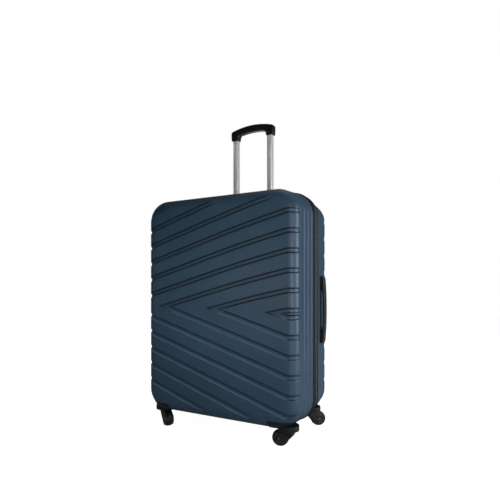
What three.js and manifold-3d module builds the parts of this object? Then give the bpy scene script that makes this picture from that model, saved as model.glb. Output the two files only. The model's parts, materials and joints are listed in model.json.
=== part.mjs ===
// Hard shell spinner suitcase: two half shells joined by a zip, a telescopic trolley,
// two carry handles, a combination lock and four swivel casters.
// Millimetres, +Z up. Front face towards -Y, trolley towards +Y, side handle towards +X.
import * as THREE from 'three';
import { mergeVertices } from 'three/addons/utils/BufferGeometryUtils.js';
import Module from 'manifold-3d';

const wasm = await Module();
wasm.setup();

// ---- driving dimensions -------------------------------------------------------------
const gap = 0.3;                 // clearance between pieces that touch
const caseWidth = 520;
const caseHeight = 686;
const caseDepth = 314;
const shellDrop = 1.7;           // underside of the rim below the top of the wheel forks
const cornerRadius = 74;         // of the rim outline
const faceRadius = 35;           // between each face and its walls
const wallDraft = 8;             // each wall leans in by this much from rim to face
const wall = 4;
const rimStart = 14;             // half the width of the seam band between the shells
const flutePitch = 28;            // flutes are spaced forward from the face's rounding
const fluteHalf = 6;
const fluteDepth = 1.2;

const grooveWidth = 8.6;
const grooveDepth = 2;
const groovePitch = 53;          // between neighbouring arms, measured upright
const pitchSpread = 0.006;       // the arms fan out a little towards +X
const tipInset = 80;             // point of the largest chevron in from the rim
const armRise = 0.282;
const armFall = 0.318;
const armEase = 0.00015;         // the rising arms flatten slightly past the middle
const armLevelReach = 11;        // arms run level from here past the flat, round the +X edge
const grooveWrap = 49;           // how far a groove runs round an upright edge
const upperArms = 6;
const lowerArms = 5;

const pipingSize = 4.2;
const tapeInset = 2;
const tapeThickness = 1.6;
const seamGap = 0.3;             // half the gap between the two zip tapes
const hingeInset = 93;           // hinge ends in from the top and the bottom of the rim
const gussetThickness = 1.4;
const sliderX = 24;
const pullLength = 30;

const liningThickness = 1.2;
const liningGap = 0.6;
const liningClear = 0.5;         // rear lining to the trolley well
const dividerY = 20;
const dividerThickness = 1.6;
const strapWidth = 30;
const strapThickness = 1.4;
const strapY = 24;
const buckleLength = 64;

const tubeSpacing = 130;
const trolleyInset = 35.5;       // tubes' centre line in from the back of the case
const tubeWidth = 20;
const tubeDepth = 18;
const tubeWall = 1.4;
const tubeFit = 0.5;             // running gap between inner and outer tube
const outerTubeWall = 2;
const gripSeat = 45;             // underside of the stowed grip below the top of the case
const trolleyTravel = 283;
const tubeOverlap = 80;          // length of inner tube kept inside when fully out
const tubeInGrip = 20;
const gripEnd = 16;              // of the grip beyond each tube's centre line
const gripDepth = 25;
const gripEndHeight = 32.5;
const gripTopRise = 13.5;        // crown of the arch above its ends
const gripBarHeight = 23;
const gripEndLength = 31;
const wellWall = 2;
const wellClear = 2;
const wellFloor = 3;
const bezelLip = 4;
const bezelProud = 2;
const footHeight = 30;
const footEnd = 27;              // of the foot beyond each tube's centre line
const buttonLength = 36;
const buttonWidth = 11;
const buttonTravel = 3;
const rodRadius = 2;
const pinRadius = 3;
const pinLength = 9.5;

const handleLength = 207;
const handleWidth = 28;
const handleInset = 90;          // handles' centre line in from the back of the case
const handleReach = 12;          // outer face of a handle beyond the rim
const handleEndLength = 40;
const handleThickness = 7.5;
const handlePlate = 3.5;

const lockLength = 76;
const lockWidth = 24;
const lockY = 29;
const lockDepth = 15;
const lockProud = 2.5;
const dialRadius = 6;
const dialWidth = 4;
const dialPitch = 8;

const wheelRadius = 23.2;
const wheelWidth = 17;
const wheelClear = 0.8;
const forkWidth = 25;
const forkRoof = 2.5;
const cheekInset = 2.4;          // tyre stands proud of the cheeks by this much
const casterTrail = 25;
const casterInsetX = 47;
const casterInsetY = 50;
const axleRadius = 3;
const housingProud = 1.5;
const housingHeight = 30;
const housingReachX = 45;        // from the swivel axis towards the middle of the case
const housingReachY = 38;
const bossRadius = 30;
const swivelStem = 5;

// ---- derived places -------------------------------------------------------------------
const halfWidth = caseWidth / 2;
const halfDepth = caseDepth / 2;
const forkTopZ = wheelRadius + wheelRadius + wheelClear + forkRoof;
const rideHeight = forkTopZ - shellDrop;
const midZ = rideHeight + caseHeight / 2;
const topZ = rideHeight + caseHeight;
const wallEnd = halfDepth - faceRadius;
const flatX = halfWidth - wallDraft - faceRadius;
const flatTopZ = topZ - wallDraft - faceRadius;
const flatBottomZ = rideHeight + wallDraft + faceRadius;
const tapeEdge = rimStart - gap - pipingSize - gap;
const fluteCentres = [3, 2, 1].map((i) => wallEnd - i * flutePitch)
  .filter((y) => y > rimStart + 2 * fluteHalf);
const armLevelX = flatX + armLevelReach;
const tipX = tipInset - halfWidth;
const hingeLength = caseHeight - 2 * hingeInset;
const trolleyY = halfDepth - trolleyInset;
const tubeX = tubeSpacing / 2;
const gripBottomZ = topZ - gripSeat + trolleyTravel;  // trolley fully out
const gripFloorZ = gripBottomZ - trolleyTravel - gap;
const gripLength = tubeSpacing + 2 * gripEnd;
const footLength = tubeSpacing + 2 * footEnd;
const handleY = halfDepth - handleInset;
const casterX = halfWidth - casterInsetX;
const casterY = halfDepth - casterInsetY;

// ---- materials ----------------------------------------------------------------------
const finish = (color, roughness, metalness = 0) =>
  new THREE.MeshStandardMaterial({ color, roughness, metalness });
const shellBlue = finish('#3b556d', 0.42);
const pipingBlack = finish('#1c1d1f', 0.6);
const tapeBrown = finish('#4a4642', 0.85);
const liningGrey = finish('#5d6268', 0.9);
const webbingBlack = finish('#232426', 0.85);
const blackPlastic = finish('#252527', 0.5);
const handleRubber = finish('#2d2724', 0.6);
const aluminium = finish('#b9b8b2', 0.35, 0.9);
const steel = finish('#9a9b9d', 0.3, 1);
const tyreBlack = finish('#1b1b1c', 0.7);

// ---- solids and booleans ----------------------------------------------------------
function volumeOf(geometry) {
  const p = geometry.getAttribute('position');
  const index = geometry.getIndex().array;
  const [a, b, c] = [new THREE.Vector3(), new THREE.Vector3(), new THREE.Vector3()];
  let total = 0;
  for (let i = 0; i < index.length; i += 3) {
    a.fromBufferAttribute(p, index[i]);
    b.fromBufferAttribute(p, index[i + 1]);
    c.fromBufferAttribute(p, index[i + 2]);
    total += a.dot(b.cross(c)) / 6;
  }
  return total;
}

function solid(geometry) {
  const bare = geometry.clone();
  bare.deleteAttribute('normal');
  bare.deleteAttribute('uv');
  const merged = mergeVertices(bare, 1e-4);
  const triVerts = Uint32Array.from(merged.getIndex().array);
  if (volumeOf(merged) < 0) {
    for (let i = 0; i < triVerts.length; i += 3) {
      [triVerts[i], triVerts[i + 1]] = [triVerts[i + 1], triVerts[i]];
    }
  }
  const vertProperties = Float32Array.from(merged.getAttribute('position').array);
  return new wasm.Manifold(new wasm.Mesh({ numProp: 3, vertProperties, triVerts }));
}

function geometryOf(manifold) {
  const mesh = manifold.getMesh();
  const geometry = new THREE.BufferGeometry();
  geometry.setAttribute('position', new THREE.BufferAttribute(mesh.vertProperties, 3));
  geometry.setIndex(new THREE.BufferAttribute(mesh.triVerts, 1));
  geometry.computeVertexNormals();
  return geometry;
}

const assembly = new THREE.Group();

function piece(name, manifold, material) {
  const mesh = new THREE.Mesh(geometryOf(manifold), material);
  mesh.name = name;
  assembly.add(mesh);
  return mesh;
}

// A box between two corners.
function block([x0, x1], [y0, y1], [z0, z1]) {
  const box = new THREE.BoxGeometry(x1 - x0, y1 - y0, z1 - z0);
  box.translate((x0 + x1) / 2, (y0 + y1) / 2, (z0 + z1) / 2);
  return solid(box);
}

const span = (centre, size) => [centre - size / 2, centre + size / 2];

// A cylinder through `centre` along 'x', 'y' or 'z'.
function rod(axis, radius, length, centre, sides = 24) {
  const cylinder = new THREE.CylinderGeometry(radius, radius, length, sides);
  if (axis === 'x') cylinder.rotateZ(Math.PI / 2);
  if (axis === 'z') cylinder.rotateX(Math.PI / 2);
  cylinder.translate(...centre);
  return solid(cylinder);
}

// Closed skin through rings of equal length: capped at both ends, or joined end to end.
function loft(rings, joined = false) {
  const count = rings[0].length;
  const position = rings.flat().flatMap((p) => [p.x, p.y, p.z]);
  const index = [];
  const bands = joined ? rings.length : rings.length - 1;
  for (let r = 0; r < bands; r++) {
    const next = (r + 1) % rings.length;
    for (let i = 0; i < count; i++) {
      const j = (i + 1) % count;
      const [a, b] = [r * count + i, r * count + j];
      const [c, d] = [next * count + i, next * count + j];
      index.push(a, b, d, a, d, c);
    }
  }
  if (!joined) {
    const last = (rings.length - 1) * count;
    for (let i = 1; i < count - 1; i++) {
      index.push(0, i + 1, i, last, last + i, last + i + 1);
    }
  }
  const geometry = new THREE.BufferGeometry();
  geometry.setAttribute('position', new THREE.Float32BufferAttribute(position, 3));
  geometry.setIndex(index);
  return solid(geometry);
}

// Prism of a flat outline: points are [u, v], extruded evenly about zero along w.
// `place` turns (u, v, w) into (x, y, z).
function prism(points, depth, place) {
  const outline = points.map(([u, v]) => new THREE.Vector2(u, v));
  if (THREE.ShapeUtils.isClockWise(outline)) outline.reverse();
  const faces = THREE.ShapeUtils.triangulateShape(outline, []);
  const ring = (w) => outline.map((p) => new THREE.Vector3(...place(p.x, p.y, w)));
  const [near, far] = [ring(-depth / 2), ring(depth / 2)];
  const count = outline.length;
  const index = [];
  for (const [a, b, c] of faces) index.push(a, b, c, count + a, count + c, count + b);
  for (let i = 0; i < count; i++) {
    const j = (i + 1) % count;
    index.push(i, count + j, j, i, count + i, count + j);
  }
  const geometry = new THREE.BufferGeometry();
  const position = [...near, ...far].flatMap((p) => [p.x, p.y, p.z]);
  geometry.setAttribute('position', new THREE.Float32BufferAttribute(position, 3));
  geometry.setIndex(index);
  return solid(geometry);
}

const upright = (y) => (u, v, w) => [u, y + w, v];       // outline in X-Z, depth along Y

// Arc points about [cu, cv] from angle a0 to a1, in degrees.
function arc(cu, cv, radius, a0, a1, steps) {
  return Array.from({ length: steps + 1 }, (_, i) => {
    const a = THREE.MathUtils.degToRad(a0 + ((a1 - a0) * i) / steps);
    return [cu + radius * Math.cos(a), cv + radius * Math.sin(a)];
  });
}

function roundedRect(halfU, halfV, radius, steps, cu = 0, cv = 0) {
  const [u, v] = [halfU - radius, halfV - radius];
  return [
    ...arc(cu + u, cv + v, radius, 0, 90, steps),
    ...arc(cu - u, cv + v, radius, 90, 180, steps),
    ...arc(cu - u, cv - v, radius, 180, 270, steps),
    ...arc(cu + u, cv - v, radius, 270, 360, steps),
  ];
}

// ---- the case's outline, `inset` inside the rim, at depth y ---------------------------------
const cornerSteps = 6;

function caseOutline(inset, y) {
  const radius = Math.max(cornerRadius - inset, 1);
  return roundedRect(halfWidth - inset, caseHeight / 2 - inset, radius, cornerSteps, 0, midZ)
    .map(([x, z]) => new THREE.Vector3(x, y, z));
}

const draftAt = (y) => (wallDraft * (Math.abs(y) - rimStart)) / (wallEnd - rimStart);

// Rings of a half shell's skin, moved inwards by `inset`, from rim to face. side: -1 front, 1 rear.
function skin(side, inset, start, fluted = false) {
  const rings = [caseOutline(inset + draftAt(start), side * start)];
  if (fluted) {
    for (const centre of fluteCentres) {
      for (const [dy, depth] of [[-fluteHalf, 0], [0, fluteDepth], [fluteHalf, 0]]) {
        const y = centre + dy;
        rings.push(caseOutline(inset + draftAt(y) + depth, side * y));
      }
    }
  }
  const radius = faceRadius - inset;
  const steps = 4;
  for (let i = 0; i <= steps; i++) {
    const a = (Math.PI / 2) * (i / steps);
    const ringInset = inset + wallDraft + radius * (1 - Math.cos(a));
    rings.push(caseOutline(ringInset, side * (wallEnd + radius * Math.sin(a))));
  }
  return rings;
}

const filled = (side, inset, start = rimStart) => loft(skin(side, inset, start));

// ---- chevron grooves ---------------------------------------------------------------------
// Across the face, s is measured along the skin, so grooves roll round the upright edges.
const grooveEndS = flatX + grooveWrap;
const tipZ = midZ - 2;
const pitchAt = (s) => groovePitch + pitchSpread * s;

function upperArmZ(s, n) {
  const t = Math.min(s, armLevelX);
  return tipZ + armRise * (t - tipX) - armEase * Math.max(t, 0) ** 2 + n * pitchAt(s);
}

function lowerArmZ(s, n) {
  return tipZ - armFall * (Math.min(s, armLevelX) - tipX) - n * pitchAt(s);
}

function onSkin(side, s, z) {
  const over = Math.max(Math.abs(s) - flatX, 0) / faceRadius;
  const sign = Math.sign(s);
  const x = Math.sign(s) * (Math.min(Math.abs(s), flatX) + faceRadius * Math.sin(over));
  const y = side * (wallEnd + faceRadius * Math.cos(over));
  return {
    point: new THREE.Vector3(x, y, z),
    out: new THREE.Vector3(sign * Math.sin(over), side * Math.cos(over), 0),
    along: new THREE.Vector3(Math.cos(over), -side * sign * Math.sin(over), 0),
  };
}

// Cutter swept along [s, z] points; a sharp tip is mitred.
function grooveCutter(side, path) {
  const rings = path.map(([s, z], i) => {
    const before = path[Math.max(i - 1, 0)];
    const after = path[Math.min(i + 1, path.length - 1)];
    const into = new THREE.Vector2(s - before[0], z - before[1]).normalize();
    const away = new THREE.Vector2(after[0] - s, after[1] - z).normalize();
    if (i === 0) into.copy(away);
    if (i === path.length - 1) away.copy(into);
    const normal = new THREE.Vector2(-into.y - away.y, into.x + away.x).normalize();
    const mitre = 1 / Math.abs(normal.x * -into.y + normal.y * into.x);
    const { point, out, along } = onSkin(side, s, z);
    const across = along.clone().multiplyScalar(normal.x);
    across.z += normal.y;
    const edge = (half, height) =>
      point.clone().addScaledVector(across, half * mitre).addScaledVector(out, height);
    const half = grooveWidth / 2;
    return [
      edge(half + 1, 2),
      edge(half - 0.8, -grooveDepth),
      edge(0.8 - half, -grooveDepth),
      edge(-half - 1, 2),
    ];
  });
  return loft(rings);
}

const stations = (from, to, step) => {
  const count = Math.max(Math.ceil((to - from) / step), 1);
  return Array.from({ length: count + 1 }, (_, i) => from + ((to - from) * i) / count);
};

// Arms are straight but for the rolled edges, so they need few stations there.
function armStations(from, to) {
  const rolled = stations(flatX, grooveEndS, 13);
  const face = stations(-flatX, flatX, 90).slice(1, -1);
  const all = [...rolled.map((s) => -s).reverse(), ...face, ...rolled];
  const inside = all.filter((s) => s > from + 4 && s < to - 4);
  return [from, ...inside, to];
}

function crossing(from, test) {
  let s = from;
  while (s < grooveEndS && !test(s)) s += 1;
  return s;
}

function groovePaths() {
  const paths = [];
  for (let n = 0; n >= -2; n--) {
    const tip = crossing(tipX - 20, (s) => upperArmZ(s, n) >= lowerArmZ(s, n));
    const arms = armStations(tip, grooveEndS).filter((s) => s === tip || s > tip + 24);
    const upper = arms.map((s) => [s, upperArmZ(s, n)]);
    const lower = arms.slice(1).map((s) => [s, lowerArmZ(s, n)]);
    paths.push([...upper.reverse(), ...lower]);
  }
  const reach = 6;               // an arm fades out on the rounded edge past the flat face
  for (let n = 1; n <= upperArms; n++) {
    const end = crossing(-grooveEndS, (s) => upperArmZ(s, n) > flatTopZ + reach);
    paths.push(armStations(-grooveEndS, end).map((s) => [s, upperArmZ(s, n)]));
  }
  for (let n = 1; n <= lowerArms; n++) {
    const end = crossing(-grooveEndS, (s) => lowerArmZ(s, n) < flatBottomZ - reach);
    paths.push(armStations(-grooveEndS, end).map((s) => [s, lowerArmZ(s, n)]));
  }
  return paths;
}

// ---- trolley well and lock cut-outs, shared by shell, bezel and lock -------------------------
const wellHalfX = gripLength / 2 + wellClear + wellWall;
const wellHalfY = gripDepth / 2 + wellClear + wellWall;
const liningBackY = trolleyY - wellHalfY - liningClear;
const wellBottomZ = gripFloorZ - wellFloor;
const lockZ = topZ - draftAt(lockY);
const lockBody = {
  x: span(0, lockLength - 6),
  y: span(lockY, lockWidth - 4),
  z: [lockZ - lockDepth, lockZ + lockProud],
};
const grow = ([low, high], by) => [low - by, high + by];

function halfShell(side) {
  const inner = skin(side, wall, rimStart);
  let shell = loft([...skin(side, 0, rimStart, true).reverse(), ...inner]);
  for (const path of groovePaths()) shell = shell.subtract(grooveCutter(side, path));
  return shell;
}

function rearShell() {
  const wellHole = block(
    span(0, 2 * (wellHalfX + gap)),
    span(trolleyY, 2 * (wellHalfY + gap)),
    [wellBottomZ, topZ + 20],
  );
  const lockHole = block(grow(lockBody.x, gap), grow(lockBody.y, gap), grow(lockBody.z, 5));
  return halfShell(1).subtract(wellHole).subtract(lockHole);
}

piece('front_shell', halfShell(-1), shellBlue);
piece('rear_shell', rearShell(), shellBlue);

// ---- seam: piping, zip tapes and hinge gusset -------------------------------------------------
// A ring that follows the rim; section points are [inset, y].
function rimRing(section) {
  return loft(section.map(([inset, y]) => caseOutline(inset, y)), true);
}

const pipingSection = (side) => {
  const radius = pipingSize / 2;
  const centre = side * (rimStart - gap - radius);
  return arc(radius, centre, radius, 0, 300, 5);
};

const tapeSection = (side) => [
  [tapeInset, side * seamGap],
  [tapeInset, side * tapeEdge],
  [tapeInset + tapeThickness, side * tapeEdge],
  [tapeInset + tapeThickness, side * seamGap],
];

const hingeZone = (length) => block([-halfWidth - 5, -halfWidth + 30], [-20, 20], span(midZ, length));

for (const [name, side] of [['front', -1], ['rear', 1]]) {
  piece(`${name}_piping`, rimRing(pipingSection(side)), pipingBlack);
  const tape = rimRing(tapeSection(side)).subtract(hingeZone(hingeLength));
  piece(`${name}_zip_tape`, tape, tapeBrown);
}
const gussetFront = tapeEdge - 0.6;
piece('hinge_gusset', block(
  [-halfWidth + tapeInset, -halfWidth + tapeInset + gussetThickness],
  [-gussetFront, tapeEdge],
  span(midZ, hingeLength - 2 * gap),
), tapeBrown);

// ---- zip sliders and pulls, parked on the top run -------------------------------------------
const sliderBaseZ = topZ - tapeInset + gap;
const sliderTop = 2;
const bridgeTop = 5.8;
const pullZ = 3.2;
const pullThickness = 1.5;

for (const [name, sign] of [['left', -1], ['right', 1]]) {
  const at = (x) => sign * (sliderX + x);
  const along = (x0, x1) => [Math.min(at(x0), at(x1)), Math.max(at(x0), at(x1))];
  const up = (z0, z1) => [sliderBaseZ + z0, sliderBaseZ + z1];
  const body = block(along(-6.5, 6.5), span(0, 9), up(0, sliderTop));
  const bridge = block(along(-4.5, 4.5), span(0, 3), up(sliderTop - 0.5, bridgeTop));
  const eye = block(along(-2.9, 2.9), span(0, 4), up(sliderTop, bridgeTop - 1.3));
  piece(`zip_slider_${name}`, body.add(bridge.subtract(eye)), steel);
  const flat = up(pullZ - pullThickness / 2, pullZ + pullThickness / 2);
  const tab = block(along(-0.75, pullLength), span(0, 8), flat);
  const ringHole = block(along(0.75, 6), span(0, 4.2), grow(flat, 1));
  const ends = block(along(-2, 0.75), span(0, 8), grow(flat, 1))
    .subtract(block(along(-3, 0.75), span(0, 20), flat));
  piece(`zip_pull_${name}`, tab.subtract(ringHole).subtract(ends), steel);
}

// ---- combination lock on the rear shell's top -------------------------------------------------
const dialZ = lockZ + lockProud - dialRadius + 1.4;
const dialX = (i) => -22 + i * dialPitch;
const lockButtonX = 20;
const lockButton = { x: span(lockButtonX, 14), y: span(lockY, 10) };

function lockCase() {
  const plate = block(span(0, lockLength), span(lockY, lockWidth), [lockZ - 5, lockZ + lockProud])
    .subtract(filled(1, -gap));
  let lock = plate.add(block(lockBody.x, lockBody.y, lockBody.z));
  for (let i = 0; i < 3; i++) {
    const slot = block(
      span(dialX(i), dialWidth + 2 * gap),
      span(lockY, 2 * dialRadius + 1.2),
      [dialZ - dialRadius - 0.6, lockZ + 20],
    );
    lock = lock.subtract(slot);
  }
  const axleHole = rod('x', 1.3, 3 * dialPitch + 4, [dialX(1), lockY, dialZ], 12);
  const pocket = block(grow(lockButton.x, gap), grow(lockButton.y, gap), [lockZ - 7, lockZ + 20]);
  return lock.subtract(axleHole).subtract(pocket);
}

piece('lock_case', lockCase(), blackPlastic);
for (let i = 0; i < 3; i++) {
  const disc = rod('x', dialRadius, dialWidth, [dialX(i), lockY, dialZ], 20);
  const bore = rod('x', 1.4, dialWidth + 2, [dialX(i), lockY, dialZ], 12);
  piece(`lock_dial_${i + 1}`, disc.subtract(bore), blackPlastic);
}
piece('lock_dial_axle', rod('x', 1, 3 * dialPitch + 3, [dialX(1), lockY, dialZ], 12), steel);
piece('lock_button', block(lockButton.x, lockButton.y, [lockZ - 4.5, lockZ + lockProud + 1]), steel);

// ---- linings, divider and packing straps -------------------------------------------------------
function frontLining() {
  const start = rimStart + 2;
  const outside = skin(-1, wall + liningGap, start).reverse();
  return loft([...outside, ...skin(-1, wall + liningGap + liningThickness, start)]);
}

// The rear lining is a shallower tray, because the trolley runs behind it.
function rearLining() {
  const start = rimStart + 2;
  const corner = 12;
  const tray = (inset, back) => [
    caseOutline(inset + draftAt(start), start),
    caseOutline(inset + draftAt(back - corner), back - corner),
    caseOutline(inset + draftAt(back) + corner * 0.3, back - corner * 0.3),
    caseOutline(inset + draftAt(back) + corner, back),
  ];
  const outer = tray(wall + liningGap, liningBackY).reverse();
  const inner = tray(wall + liningGap + liningThickness, liningBackY - liningThickness);
  const lockRoom = block(grow(lockBody.x, 1), [0, lockBody.y[1] + 1], [lockBody.z[0] - 1, topZ]);
  return loft([...outer, ...inner]).subtract(lockRoom);
}

piece('front_lining', frontLining(), liningGrey);
piece('rear_lining', rearLining(), liningGrey);

const liningInset = wall + liningGap + liningThickness + gap;
piece('divider_panel', loft([
  caseOutline(liningInset + draftAt(dividerY), -dividerY),
  caseOutline(liningInset + draftAt(dividerY + dividerThickness), -dividerY - dividerThickness),
]), webbingBlack);

// Each strap is a V of webbing from two corners of the rear half to the buckle.
const strapReachZ = 150;
const strapEndX = halfWidth - liningInset - draftAt(strapY);
for (const [name, sign] of [['left', -1], ['right', 1]]) {
  const inX = buckleLength / 2 + gap;
  const points = [
    [sign * inX, midZ - strapWidth / 2],
    [sign * strapEndX, midZ - strapReachZ - strapWidth / 2],
    [sign * strapEndX, midZ - strapReachZ + strapWidth / 2],
    [sign * (inX + 40), midZ],
    [sign * strapEndX, midZ + strapReachZ - strapWidth / 2],
    [sign * strapEndX, midZ + strapReachZ + strapWidth / 2],
    [sign * inX, midZ + strapWidth / 2],
  ];
  piece(`packing_strap_${name}`, prism(points, strapThickness, upright(strapY)), webbingBlack);
}
piece('strap_buckle', prism(
  roundedRect(buckleLength / 2, strapWidth / 2 + 3, 6, 3, 0, midZ), 7, upright(strapY),
), blackPlastic);

// ---- trolley ---------------------------------------------------------------------------------
const outerTubeHalf = [tubeWidth, tubeDepth].map((size) => size / 2 + tubeFit + outerTubeWall);
const footTopZ = rideHeight + wall + wallDraft + footHeight;
const socketDepth = 14;
const outerTubeZ = [footTopZ - socketDepth, wellBottomZ - gap];
const innerTubeZ = [wellBottomZ - tubeOverlap, gripBottomZ + tubeInGrip];
const pinZ = innerTubeZ[0] + 16;

const column = (halfX, halfY, radius, [z0, z1], x) => prism(
  roundedRect(halfX, halfY, radius, 3, x, trolleyY), z1 - z0, (u, v, w) => [u, v, (z0 + z1) / 2 + w],
);

function bezel() {
  const rim = block(
    span(0, 2 * (wellHalfX + bezelLip)),
    span(trolleyY, 2 * (wellHalfY + bezelLip)),
    [topZ - wallDraft - 12, topZ - wallDraft + bezelProud],
  ).subtract(filled(1, -gap));
  const cupTop = topZ - wallDraft + bezelProud;
  let cup = rim.add(block(span(0, 2 * wellHalfX), span(trolleyY, 2 * wellHalfY), [wellBottomZ, cupTop]));
  cup = cup.subtract(block(
    span(0, 2 * (wellHalfX - wellWall)),
    span(trolleyY, 2 * (wellHalfY - wellWall)),
    [gripFloorZ, cupTop + 5],
  ));
  for (const x of [-tubeX, tubeX]) {
    const hole = column(
      tubeWidth / 2 + tubeFit, tubeDepth / 2 + tubeFit, 5, [wellBottomZ - 1, gripFloorZ + 1], x,
    );
    cup = cup.subtract(hole);
  }
  return cup;
}

function foot() {
  const body = block(
    span(0, footLength), [trolleyY - wellHalfY, halfDepth], [rideHeight, footTopZ],
  ).intersect(filled(1, wall + gap));
  return [-tubeX, tubeX].reduce((part, x) => part.subtract(column(
    outerTubeHalf[0] + gap, outerTubeHalf[1] + gap, 6, [outerTubeZ[0] - gap, footTopZ + 1], x,
  )), body);
}

piece('trolley_well', bezel(), blackPlastic);
piece('trolley_foot', foot(), blackPlastic);

for (const [name, sign] of [['left', -1], ['right', 1]]) {
  const x = sign * tubeX;
  const bore = column(tubeWidth / 2 + tubeFit, tubeDepth / 2 + tubeFit, 5, grow(outerTubeZ, 1), x);
  const slotX = x - sign * outerTubeHalf[0];
  const slot = block(
    span(slotX, 6), span(trolleyY, 2 * pinRadius + 1), [pinZ - trolleyTravel - 8, pinZ + 8],
  );
  piece(`outer_tube_${name}`,
    column(...outerTubeHalf, 5.5, outerTubeZ, x).subtract(bore).subtract(slot), aluminium);

  const hollow = column(tubeWidth / 2 - tubeWall, tubeDepth / 2 - tubeWall, 3.6, grow(innerTubeZ, 1), x);
  const pinHole = rod('x', pinRadius + 0.4, 6, [x - (sign * tubeWidth) / 2, trolleyY, pinZ]);
  piece(`inner_tube_${name}`,
    column(tubeWidth / 2, tubeDepth / 2, 5, innerTubeZ, x).subtract(hollow).subtract(pinHole), aluminium);

  const pinX = x - sign * (outerTubeHalf[0] - 1 - pinLength / 2);
  piece(`lock_pin_${name}`, rod('x', pinRadius, pinLength, [pinX, trolleyY, pinZ]), steel);
}

// Trolley grip: an arch, in a front and a back half, with the release bar inside.
const gripHalf = gripLength / 2;
const gripEndTop = gripBottomZ + gripEndHeight;

// Crown height above the ends at x: a circular arch, rounded over at its two ends.
function gripCrown(x) {
  const t = Math.min(Math.abs(x) / gripHalf, 1);
  return gripTopRise * (1 - t * t);
}

function gripOutline() {
  const top = stations(8 - gripHalf, gripHalf - 8, 16).map((x) => [x, gripEndTop + gripCrown(x)]);
  const underEnd = gripHalf - gripEndLength;
  const under = stations(4 - underEnd, underEnd - 4, 14)
    .map((x) => [x, gripEndTop + gripCrown(x) - gripBarHeight]);
  const toe = gripEndLength - 1.5;
  return [
    [-gripHalf + 1.5, gripBottomZ],
    [-gripHalf, gripEndTop - 6],
    [-gripHalf + 3, gripEndTop - 1],
    ...top,
    [gripHalf - 3, gripEndTop - 1],
    [gripHalf, gripEndTop - 6],
    [gripHalf - 1.5, gripBottomZ],
    [gripHalf - toe, gripBottomZ],
    [underEnd, under[0][1] - 5],
    ...under.reverse(),
    [-underEnd, under[0][1] - 5],
    [-gripHalf + toe, gripBottomZ],
  ];
}

// A band that follows the arch between two heights below its crown.
function archBand(halfLength, fromCrown, height, depth) {
  const xs = stations(-halfLength, halfLength, 18);
  const upper = xs.map((x) => [x, gripEndTop + gripCrown(x) - fromCrown]);
  const lower = xs.map((x) => [x, gripEndTop + gripCrown(x) - fromCrown - height]).reverse();
  return prism([...upper, ...lower], depth, upright(trolleyY));
}

const barDrop = 8;
const barHeight = 4;
const barHalf = tubeX + rodRadius + 1.5;
const cavityHeight = 13.5;
const buttonTopZ = gripEndTop + gripTopRise + 0.6;
const barTopZ = gripEndTop + gripTopRise - barDrop;
const buttonRoot = 2;            // how far the button reaches down into the release bar

function gripBody() {
  let grip = prism(gripOutline(), gripDepth, upright(trolleyY));
  grip = grip.subtract(archBand(barHalf + 1, barDrop - 1.5, cavityHeight, 9));
  grip = grip.subtract(block(
    span(0, buttonLength + 2 * gap), span(trolleyY, buttonWidth + 2 * gap),
    [barTopZ - buttonRoot - buttonTravel - gap, buttonTopZ + 5],
  ));
  for (const x of [-tubeX, tubeX]) {
    grip = grip.subtract(column(
      tubeWidth / 2 + gap, tubeDepth / 2 + gap, 5, [gripBottomZ - 1, innerTubeZ[1] + gap], x,
    ));
  }
  return grip;
}

const grip = gripBody();
for (const [name, side] of [['front', -1], ['back', 1]]) {
  const ys = [trolleyY + side * (gap / 2), trolleyY + side * gripDepth];
  const half = block(
    [-gripLength, gripLength], [Math.min(...ys), Math.max(...ys)], [gripBottomZ - 20, buttonTopZ + 20],
  );
  piece(`grip_${name}`, grip.intersect(half), blackPlastic);
}

piece('release_button', archBand(barHalf, barDrop, barHeight, 7).add(block(
  span(0, buttonLength), span(trolleyY, buttonWidth), [barTopZ - buttonRoot, buttonTopZ],
)), blackPlastic);

const rodTopZ = gripEndTop + gripCrown(tubeX + rodRadius) - barDrop - barHeight - 2 * gap;
for (const [name, x] of [['left', -tubeX], ['right', tubeX]]) {
  const rodZ = [pinZ + pinRadius + buttonTravel + 1, rodTopZ];
  const centre = [x, trolleyY, (rodZ[0] + rodZ[1]) / 2];
  piece(`push_rod_${name}`, rod('z', rodRadius, rodZ[1] - rodZ[0], centre, 10), steel);
}

// Return spring between the release bar and the cavity's floor.
class Helix extends THREE.Curve {
  constructor(radius, turns, height) {
    super();
    Object.assign(this, { radius, turns, height });
  }

  getPoint(t, target = new THREE.Vector3()) {
    const a = 2 * Math.PI * this.turns * t;
    return target.set(this.radius * Math.cos(a), this.radius * Math.sin(a), this.height * (t - 0.5));
  }
}
const springTop = barTopZ - barHeight - gap;
const springBottom = gripEndTop + gripTopRise - barDrop + 1.5 - cavityHeight + gap;
const springWire = 0.45;
const spring = new THREE.ExtrudeGeometry(
  new THREE.Shape(arc(0, 0, springWire, 0, 270, 3).map(([u, v]) => new THREE.Vector2(u, v))),
  {
    steps: 36,
    bevelEnabled: false,
    extrudePath: new Helix(2.4, 4, springTop - springBottom - 2 * springWire),
  },
);
spring.translate(0, trolleyY, (springTop + springBottom) / 2);
piece('release_spring', solid(spring), steel);

// ---- carry handles -------------------------------------------------------------------------------
// Built lying along u with w outwards, then placed on the side or the top.
const handleBase = -draftAt(handleY);
const handleEnd = handleLength / 2;
const handlePost = { length: 12, width: 14, height: 10.5 };

function handleMount(end, place, shellSolid) {
  const centre = end * (handleEnd - handleEndLength / 2);
  const plate = prism(
    roundedRect(handleEndLength / 2, handleWidth / 2, 5, 2, centre, handleY), handlePlate + 4,
    (u, v, w) => place(u, v, handleBase - 4 + (handlePlate + 4) / 2 + w),
  ).subtract(shellSolid);
  const post = prism(
    roundedRect(handlePost.length / 2, handlePost.width / 2, 1, 1, centre, handleY), handlePost.height - 2,
    (u, v, w) => place(u, v, handleBase + 2 + (handlePost.height - 2) / 2 + w),
  );
  return plate.add(post);
}

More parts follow.
